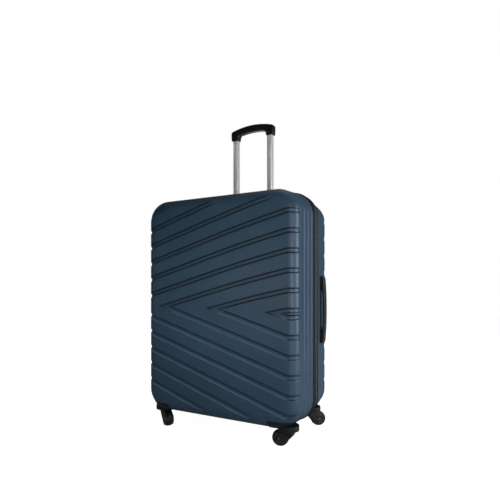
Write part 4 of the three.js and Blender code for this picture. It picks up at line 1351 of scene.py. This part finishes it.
# %% Fluted tubes
def tube_section(half_x, half_y, corner, flutes, depth):
    """A rounded oblong with shallow flutes on its two broad faces, in mm."""
    points = []
    for sx, sy, start in QUADRANTS:
        for i in range(9):
            a = math.radians(start + 90 * i / 8)
            points.append((sx * (half_x - corner) + corner * math.cos(a),
                           sy * (half_y - corner) + corner * math.sin(a)))
        if start in (0, 180):
            run = half_x - corner
            for x in np.linspace(run, -run, 41)[1:-1]:
                ripple = depth * max(0.0, math.cos(x / run * math.pi * flutes)) ** 0.7
                points.append((sx * x, sy * (half_y - ripple)))
    return points


def paint_node(node, material):
    """Gives a frame node that is shown as it is its one material."""
    slots = frame["nodes"][node].data.materials
    slots.clear()
    slots.append(material)


TUBE_CORNER, TUBE_FLUTES, TUBE_FLUTE_DEPTH = 5, 2, 0.5
for side in ("left", "right"):
    low, high, mid, size = size_of(f"inner_tube_{side}")
    section = tube_section(
        size.x / 2 / MM, size.y / 2 / MM, TUBE_CORNER, TUBE_FLUTES, TUBE_FLUTE_DEPTH)
    levels = np.linspace(low.z, high.z, 24)
    verts = [(mid.x + x * MM, mid.y + y * MM, z) for z in levels for x, y in section]
    make(f"inner_tube_{side}_fluted", lofted(f"tube_{side}", verts, len(levels), len(section)),
         ALUMINIUM, "trolley", "aluminium", (f"inner_tube_{side}",), 60)
    paint_node(f"outer_tube_{side}", ALUMINIUM)
    paint_node(f"push_rod_{side}", STEEL)
    paint_node(f"lock_pin_{side}", STEEL)
print("tube section:", len(section), "points")

# %% [markdown]
# ## Wheels
# Each wheel is a hard plastic hub in a softer tyre. Both are turned shapes, so they are spun from a
# half section, and flat spokes then cross the hub's hollow faces. The swivel heading of each caster
# is read from the frame: it is the direction from the swivel's axis to the middle of the axle.


# %% Turned shapes
def turned(profile, steps=64):
    """Spins a closed half section, in mm as (radius, along), round the Y axis."""
    verts = [(r * math.cos(a), y, r * math.sin(a))
             for a in np.linspace(0, 2 * math.pi, steps, endpoint=False) for r, y in profile]
    count = len(profile)
    faces = [(s * count + i, s * count + (i + 1) % count,
              (s + 1) % steps * count + (i + 1) % count, (s + 1) % steps * count + i)
             for s in range(steps) for i in range(count)]
    return verts, faces


def placed(name, verts, faces, turn, centre):
    spin = Matrix.Rotation(turn, 4, "Z")
    mesh = mesh_of(name, [spin @ (Vector(v) * MM) + centre for v in verts], faces)
    outward(mesh)
    return mesh


def joint_point(name):
    return Vector(next(j for j in frame["joints"] if j["name"] == name)["pos_m"])


WHEEL_HALF, TYRE_HEIGHT = 8.5, 6
SPOKES, FIRST_SPOKE = 5, 0.3


def wheel_pieces(corner):
    """Makes one caster's tyre and hub, and returns the heading that its swivel holds at rest."""
    _, _, centre, _ = size_of(f"caster_axle_{corner}")
    low, high, _, _ = size_of(f"caster_wheel_{corner}")
    radius = (high.z - low.z) / 2 / MM
    swivel = joint_point(f"caster_swivel_{corner}")
    turn = math.atan2(centre.y - swivel.y, centre.x - swivel.x)
    half, rim = WHEEL_HALF, radius - TYRE_HEIGHT
    tyre = [(rim, -half + 0.6), *arc(radius - 4, -half + 4, 4, -90, 0),
            (radius - 0.15, -2), (radius, 0), (radius - 0.15, 2),
            *arc(radius - 4, half - 4, 4, 0, 90), (rim, half - 0.6)]
    verts, faces = turned(tyre)
    make(f"tyre_{corner}", placed("tyre", verts, faces, turn, centre), TYRE,
         f"wheel_{corner}", "tyre_black", (f"caster_wheel_{corner}",), 40)
    hub = [(3.3, -half), (6.4, -half), (7, -half + 0.8), (7.4, -half + 2.8),
           (rim - 2.6, -half + 2.8), (rim - 2.2, -half + 0.9), (rim - 1.8, -half + 0.3),
           (rim - 0.2, -half + 0.3),
           (rim - 0.2, half - 0.3), (rim - 1.8, half - 0.3), (rim - 2.2, half - 0.9),
           (rim - 2.6, half - 2.8), (7.4, half - 2.8), (7, half - 0.8), (6.4, half), (3.3, half)]
    verts, faces = turned(hub)
    for k in range(SPOKES):
        angle = 2 * math.pi * k / SPOKES + FIRST_SPOKE
        direction = Vector((math.cos(angle), 0, math.sin(angle)))
        across = Vector((-math.sin(angle), 0, math.cos(angle)))
        for face in (-1, 1):
            first = len(verts)
            for reach in (6.8, rim - 2.0):
                for wide, lift in ((-1.5, 3.0), (-1.0, 0.9), (1.0, 0.9), (1.5, 3.0)):
                    p = direction * reach + across * wide + Vector((0, face * (half - lift), 0))
                    verts.append(tuple(p))
            faces += [(first, first + 1, first + 5, first + 4),
                      (first + 1, first + 2, first + 6, first + 5),
                      (first + 2, first + 3, first + 7, first + 6),
                      (first, first + 3, first + 2, first + 1),
                      (first + 4, first + 5, first + 6, first + 7),
                      (first + 3, first, first + 4, first + 7)]
    make(f"hub_{corner}", placed("hub", verts, faces, turn, centre), HUB,
         f"wheel_{corner}", "tyre_black", (), 35)
    return turn


for corner in CORNERS:
    heading = wheel_pieces(corner)
    paint_node(f"caster_axle_{corner}", STEEL)
    print(corner, "wheel heading", round(math.degrees(heading)))

# %% [markdown]
# ## Carry handles
# A carry handle is a thick rubber strap that bows out between two feet, with room behind it for the
# fingers. Its section changes along its length, from a tall foot to a slim rounded strap and back,
# so it is lofted: one rounded section at each station, joined to the next.


# %% Lofted strap
def handle_sections(length, thick, foot, reach, dip):
    """Stations along the handle as (place, inner height, outer height, half width), in mm."""
    end, inner_end = length / 2, length / 2 - 40
    sections = []
    for u in [*np.linspace(-end, -inner_end, 8), *np.linspace(-inner_end + 2, inner_end - 2, 29),
              *np.linspace(inner_end, end, 8)]:
        outer = reach - dip * abs(u / end) ** 2.2
        blend = min(max((abs(u) - inner_end + 14) / 16, 0), 1)
        blend = blend * blend * (3 - 2 * blend)
        inner = (outer - thick) * (1 - blend) + foot * blend
        closing_in = max(abs(u) - end + 4, 0) / 4
        outer -= 3.2 * (1 - math.sqrt(max(1 - closing_in ** 2, 0)))
        sections.append((u, inner, outer, 13 - 0.9 * math.cos(u / end * math.pi / 2) ** 2))
    return sections


STRAP_ROUNDING, ARC_POINTS = 2.6, 5


def strap_mesh(name, sections, width_centre, place):
    """Lofts the stations; `place` puts (along, across, outwards) in mm where the handle is."""
    verts = []
    for u, inner, outer, half in sections:
        radius = min((outer - inner) / 2 - 0.1, STRAP_ROUNDING)
        for sv, sw, start in QUADRANTS:
            for k in range(ARC_POINTS):
                a = math.radians(start + 90 * k / (ARC_POINTS - 1))
                v = sv * (half - radius) + radius * math.cos(a)
                w = (inner + outer) / 2 + sw * ((outer - inner) / 2 - radius) + radius * math.sin(a)
                verts.append(place(u, width_centre + v, w))
    return lofted(name, verts, len(sections), len(QUADRANTS) * ARC_POINTS)


STRAP_THICKNESS, STRAP_BOW = 6.6, 4.6


def add_handle(node, body, along, out_axis, rim):
    """Makes one handle; `along` and `out_axis` are the axes of its length and its bow."""
    low, high, mid, size = size_of(node)
    foot = (low[out_axis] - rim) / MM
    reach = (high[out_axis] - rim) / MM

    def place(u, v, w):
        point = [0.0, v * MM, 0.0]
        point[along] = mid[along] + u * MM
        point[out_axis] = rim + w * MM
        return point
    sections = handle_sections(size[along] / MM, STRAP_THICKNESS, foot, reach, STRAP_BOW)
    make(f"{node}_strap", strap_mesh(node, sections, mid.y / MM, place), HANDLE_RUBBER, body,
         "handle_rubber", (node,), 50)
    print(node, f"stands {reach:.1f} mm off the rim")


add_handle("side_handle_grip", "side_handle", 2, 0, CASE_X + HALF_W)
add_handle("top_handle_grip", "top_handle", 0, 2, CASE_Z + HALF_H)

# %% [markdown]
# ## Combination lock
# The three number wheels are turned rings with small dents round them. Each digit is a small piece
# of raised type, laid on the ring and kept on the same body as its wheel, so that it turns with it.


# %% Number wheels
DIAL_NOTCHES, DIAL_DENT, DIAL_BORE = 20, 0.35, 2.0


def dial_ring(radius, half_width):
    """A ring round X, in mm, with chamfered rims and a dent at each notch."""
    profile_x = (-half_width, -half_width * 0.78, half_width * 0.78, half_width)
    verts = []
    ring, count = 6, DIAL_NOTCHES * 4
    for k in range(count):
        a = 2 * math.pi * k / count
        dent = DIAL_DENT if k % 4 == 0 else 0.0
        for i, x in enumerate(profile_x):
            r = radius - dent - (DIAL_DENT if i in (0, 3) else 0)
            verts.append((x, r * math.cos(a), r * math.sin(a)))
        for x in (half_width, -half_width):
            verts.append((x, DIAL_BORE * math.cos(a), DIAL_BORE * math.sin(a)))
    faces = [(k * ring + i, k * ring + (i + 1) % ring, (k + 1) % count * ring + (i + 1) % ring,
              (k + 1) % count * ring + i) for k in range(count) for i in range(ring)]
    return verts, faces


def digit_shape(text, height):
    """One digit as points and faces, in mm, lying flat and facing up."""
    curve = bpy.data.curves.new("digit", "FONT")
    curve.body = text
    curve.size = height
    curve.extrude = 0.09
    curve.align_x, curve.align_y = "CENTER", "CENTER"
    curve.resolution_u = 2
    obj = link(bpy.data.objects.new("digit", curve))
    drawn = bpy.data.meshes.new_from_object(obj)
    bpy.data.objects.remove(obj)
    verts = [Vector(v.co) for v in drawn.vertices]
    faces = [tuple(p.vertices) for p in drawn.polygons]
    bpy.data.meshes.remove(drawn)
    return verts, faces


DIGIT_PAINT = moulded("digit_paint", "#c9cac8", "#dcdcd9", 0.5, 0.0005, 0.00001, 0.0)
DIGIT_HEIGHT, DIGITS = 2.6, 10
for number in (1, 2, 3):
    node = f"lock_dial_{number}"
    _, _, centre, size = size_of(node)
    radius, half_width = size.z / 2 / MM, size.x / 2 / MM
    verts, faces = dial_ring(radius - 0.05, half_width)
    mesh = mesh_of(node, [Vector(v) * MM + centre for v in verts], faces)
    outward(mesh)
    make(f"{node}_ring", mesh, BLACK_PLASTIC, node, "black_plastic", (node,), 30)
    verts, faces = [], []
    for digit in range(DIGITS):
        shape, polygons = digit_shape(str(digit), DIGIT_HEIGHT)
        spin = Matrix.Rotation(math.radians(36 * digit), 4, "X")
        first = len(verts)
        verts += [(spin @ (v + Vector((0, 0, radius - 0.02)))) * MM + centre for v in shape]
        faces += [tuple(i + first for i in p) for p in polygons]
    make(f"{node}_digits", mesh_of(f"{node}_digits", verts, faces), DIGIT_PAINT, node,
         "black_plastic", (), 30)
paint_node("lock_dial_axle", STEEL)
print("dials: 3 rings with", DIGITS, "digits each")

# %% [markdown]
# ## Inside the case
# When the case opens, the cloth inside shows. The linings are the same unrolled plan as the shells,
# without channels, rolled up a little smaller and given shallow folds. The divider is a stiff cloth
# panel with a bound edge and a pocket zip, and the straps are webbing with a box of stitches each.


# %% Cloth helpers
def box_uv(mesh):
    """Lays a UV map in metres on each face, from the side that it faces most."""
    layer = mesh.uv_layers.new(name="UVMap")
    for face in mesh.polygons:
        n = [abs(c) for c in face.normal]
        axes = (1, 2) if n[0] == max(n) else (0, 2) if n[1] == max(n) else (0, 1)
        for loop in face.loop_indices:
            co = mesh.vertices[mesh.loops[loop].vertex_index].co
            layer.data[loop].uv = (co[axes[0]], co[axes[1]])
    return mesh


def folds(x, z):
    """Shallow folds of loose cloth, in mm, from a few long waves."""
    return (0.45 * np.sin(x / 31 + z / 57) + 0.35 * np.sin(z / 23 - x / 71 + 1.3)
            + 0.2 * np.sin((x + z) / 13.0))


# %% Linings
LINING_STEP, LINING_FIELD = 12, 15
LINING_THICKNESS = 0.0007
STEP_MARGIN, STEP_GAP = 0.014, 0.0016


def step_under(place, node, axis):
    """Takes the cloth under a piece that stands into the case, on the side that `axis` names."""
    low, high, _, _ = size_of(node)
    near = np.ones(len(place), bool)
    for other in {0, 1, 2} - {axis}:
        near &= place[:, other] > low[other] - STEP_MARGIN
        near &= place[:, other] < high[other] + STEP_MARGIN
    place[near, axis] = np.minimum(place[near, axis], low[axis] - STEP_GAP)


def lining_mesh(node, side, inset, y_rim, y_face):
    """The unrolled sheet in the size of a lining node, with folds, as one layer of cloth."""
    rings = [*np.linspace(0, ROLL_LENGTH, 9),
             *(ROLL_LENGTH + WALL_LENGTH * t for t in np.linspace(0.12, 0.985, 8))]
    points = [p for past in rings[:-1] for p in outline_at(past, LINING_STEP)]
    points += [(x, z) for x in np.arange(10 - FLAT_X, FLAT_X - 9, LINING_FIELD)
               for z in np.arange(10 - FLAT_Z, FLAT_Z - 9, LINING_FIELD)]
    border = outline_at(rings[-1], LINING_STEP)
    first = len(points)
    points += border
    edges = [(first + i, first + (i + 1) % len(border)) for i in range(len(border))]
    flat, _, faces, _, _, _ = delaunay_2d_cdt(
        [Vector(map(float, p)) for p in points], edges, [], 0, 1e-4, False)
    flat = np.array([tuple(p) for p in flat])
    solid = rolled(flat)[0]
    ahead = -HALF_D / MM
    depth_share = (solid[:, 1] - ahead) / (-RIM_Y / MM - ahead)
    scale = 1 - (inset + folds(solid[:, 0], solid[:, 2]) * 0.6) / (HALF_W / MM)
    x, z = solid[:, 0] * scale, solid[:, 2] * (1 - inset / (HALF_H / MM))
    y = y_face + (y_rim - y_face) * depth_share
    y -= np.sign(y_face) * (0.8 + folds(x, z)) * (1 - depth_share)
    place = np.column_stack([x, y, z]) * MM + np.array([CASE_X, 0, CASE_Z])
    faces = [tuple(f) for f in faces]
    if side > 0:
        faces = [f[::-1] for f in faces]
        step_under(place, "lock_case", 2)
        step_under(place, "trolley_well", 1)
    return mesh_of(node, place, faces, flat * MM)


for node, body, side in (("front_lining", "front", -1), ("rear_lining", "root", 1)):
    low, high, _, _ = size_of(node)
    y_face, y_rim = (low.y, high.y) if side < 0 else (high.y, low.y)
    inset = (low.x - (CASE_X - HALF_W)) / MM + 0.4
    mesh = lining_mesh(node, side, inset, y_rim / MM, y_face / MM)
    obj = make(f"{node}_cloth", mesh, LINING, body, "lining_grey", (node,), 60)
    thicken(obj, LINING_THICKNESS)
    print(node, len(mesh.polygons), "faces")

# %% Divider and straps
CLOTH_EDGE = 0.0004


def cloth_copy(node, material, body):
    mesh = box_uv(bevelled(frame_copy(node), CLOTH_EDGE, 2))
    make(f"{node}_cloth", mesh, material, body, "webbing_black", (node,), 40)


cloth_copy("divider_panel", PANEL, "front")
for side in ("left", "right"):
    cloth_copy(f"packing_strap_{side}", WEBBING, "root")
PANEL_LOW, PANEL_HIGH, PANEL_MID, _ = size_of("divider_panel")
panel_inset = (PANEL_LOW.x - (CASE_X - HALF_W)) / MM + 1.3
binding = rim_line(panel_inset, PANEL_MID.y / MM, 8)
bound = run_tree("binding", SWEEP, line_mesh("binding", binding), {
    "Radius": 0.0012, "Sides": 8, "Material": WEBBING})
make("divider_binding", box_uv(bound), WEBBING, "front", "webbing_black", (), 80)
print("divider:", len(bound.polygons), "faces in its binding")


# %% Pocket zip on the divider
POCKET_RISE, POCKET_HALF = 0.19, 0.19            # above the divider's middle, and half its length
POCKET_TOOTH = (0.0016, 0.0027, 0.0005, (0, 0, 1), 0.0)

zip_z = PANEL_MID.z + POCKET_RISE
corners = [(x, y, z) for x in (-0.2, 0.2) for y in (0, 0.0007) for z in (-0.009, 0.009)]
backing = mesh_of("backing", [Vector((CASE_X, PANEL_HIGH.y - 0.0002, zip_z)) + Vector(c)
                              for c in corners],
                  [(0, 1, 3, 2), (4, 6, 7, 5), (0, 4, 5, 1), (2, 3, 7, 6), (0, 2, 6, 4),
                   (1, 5, 7, 3)])
outward(backing)
make("pocket_zip_tape", box_uv(backing), TAPE, "front", "tape_brown", (), 40)
pocket = [Vector((CASE_X + x, PANEL_HIGH.y + 0.0008, zip_z))
          for x in np.linspace(-POCKET_HALF, POCKET_HALF, 96)]
for name, rise in (("upper", 0.0013), ("lower", -0.0013)):
    row = [p + Vector((0, 0, rise)) for p in pocket]
    teeth = peg_row("pocket", line_mesh("pocket", row, False), *POCKET_TOOTH, PIPING)
    make(f"pocket_zip_{name}", teeth, PIPING, "front", "piping_black", (), 80)
print("divider zip:", f"{2 * POCKET_HALF:.2f} m long")


# %% Stitches in the straps
BOX_HALF_X, BOX_HALF_Z, BOX_FROM_MIDDLE = 0.012, 0.011, 0.058
BOX_STITCH = (0.003, 0.0023, 0.0003, (0, 0, 0), 1.0)


def box_stitch(centre):
    """A small upright rectangle of points, for the stitches that hold a strap down."""
    corners = [(sx * BOX_HALF_X, sz * BOX_HALF_Z)
               for sx, sz in ((-1, -1), (1, -1), (1, 1), (-1, 1))]
    return [centre + Vector((a[0] + (b[0] - a[0]) * t / 8, 0, a[1] + (b[1] - a[1]) * t / 8))
            for a, b in zip(corners, corners[1:] + corners[:1]) for t in range(8)]


for side, sign in (("left", -1), ("right", 1)):
    low, high, _, _ = size_of(f"packing_strap_{side}")
    for y_name, y in (("front", low.y - 0.0001), ("back", high.y + 0.0001)):
        centre = Vector((CASE_X + sign * BOX_FROM_MIDDLE, y, CASE_Z))
        stitched = peg_row(
            "box_stitch", line_mesh("box_stitch", box_stitch(centre)), *BOX_STITCH, THREAD_FINISH)
        make(f"strap_stitch_{side}_{y_name}", stitched, THREAD_FINISH, "root",
             "webbing_black", (), 80)
print("strap stitches:", len(stitched.polygons), "faces a box")

# %% [markdown]
# ## Screws
# Screws hold the two halves of the grip together, and the caster housings to the case. One tree
# sets a cross-head screw on each point that it is given, all facing one way.


# %% Screw tree
def screw_tree():
    tree, enter, leave = new_tree("screws", [
        ("Radius", "NodeSocketFloat", 0.0026), ("Direction", "NodeSocketVector", (0, 0, -1)),
        ("Material", "NodeSocketMaterial", None), ("Recess", "NodeSocketMaterial", None)])
    head = add(tree, "GeometryNodeMeshCone", {
        "Vertices": 20, "Side Segments": 1, "Fill Segments": 1,
        "Radius Top": maths(tree, "MULTIPLY", enter.outputs["Radius"], 0.8),
        "Radius Bottom": enter.outputs["Radius"],
        "Depth": maths(tree, "MULTIPLY", enter.outputs["Radius"], 0.35)})
    head = add(tree, "GeometryNodeSetMaterial", {
        "Geometry": head.outputs["Mesh"], "Material": enter.outputs["Material"]}).outputs[0]
    arms = []
    for wide, tall in ((1.05, 0.24), (0.24, 1.05)):
        size = add(tree, "ShaderNodeCombineXYZ", {
            0: maths(tree, "MULTIPLY", enter.outputs["Radius"], wide),
            1: maths(tree, "MULTIPLY", enter.outputs["Radius"], tall),
            2: maths(tree, "MULTIPLY", enter.outputs["Radius"], 0.2)})
        slot = add(tree, "GeometryNodeMeshCube", {"Size": size.outputs[0]})
        lift = add(tree, "ShaderNodeCombineXYZ", {
            2: maths(tree, "MULTIPLY", enter.outputs["Radius"], 0.27)})
        moved = add(tree, "GeometryNodeTransform", {
            "Geometry": slot.outputs["Mesh"], "Translation": lift.outputs[0]})
        arms.append(add(tree, "GeometryNodeSetMaterial", {
            "Geometry": moved.outputs[0], "Material": enter.outputs["Recess"]}).outputs[0])
    whole = tree.nodes.new("GeometryNodeJoinGeometry")
    for part in (head, *arms):
        tree.links.new(part, whole.inputs[0])
    turn = add(tree, "FunctionNodeAlignRotationToVector", {
        "Vector": enter.outputs["Direction"]}, axis="Z")
    placed_screws = add(tree, "GeometryNodeInstanceOnPoints", {
        "Points": enter.outputs["Geometry"], "Instance": whole.outputs[0],
        "Rotation": turn.outputs[0]})
    realized = add(tree, "GeometryNodeRealizeInstances", {"Geometry": placed_screws.outputs[0]})
    tree.links.new(realized.outputs[0], leave.inputs[0])
    return tree


SCREWS = screw_tree()


def add_screws(name, spots, direction, radius, body):
    points = bpy.data.meshes.new(name)
    points.from_pydata([tuple(p) for p in spots], [], [])
    mesh = run_tree(name, SCREWS, points, {
        "Radius": radius, "Direction": direction, "Material": STEEL, "Recess": PIPING})
    obj = link(bpy.data.objects.new(name, mesh))
    smooth(obj, 30)
    settle(obj, body, "steel")
    print(name, len(spots), "screws,", len(mesh.polygons), "faces")


# %% Screws in place
GRIP_SCREW_IN, GRIP_SCREW_UP = 15.5, 0.0085      # from the grip's end, and from its underside
SCREW_CIRCLE, SCREW_PROUD = 0.0245, 0.0002

grip_spots = [(GRIP_MID.x + s * (GRIP_HALF - GRIP_SCREW_IN) * MM, GRIP_LOW.y - SCREW_PROUD,
               GRIP_LOW.z + GRIP_SCREW_UP) for s in (-1, 1)]
add_screws("grip_screws", grip_spots, (0, -1, 0), 0.0022, "trolley")
for corner in CORNERS:
    low, _, _, _ = size_of(f"caster_housing_{corner}")
    swivel = joint_point(f"caster_swivel_{corner}")
    spots = [(swivel.x + SCREW_CIRCLE * math.cos(a), swivel.y + SCREW_CIRCLE * math.sin(a),
              low.z - SCREW_PROUD) for a in (math.radians(45 + 90 * k) for k in range(4))]
    body = "front" if corner.startswith("front") else "root"
    add_screws(f"housing_screws_{corner}", spots, (0, 0, -1), 0.0026, body)
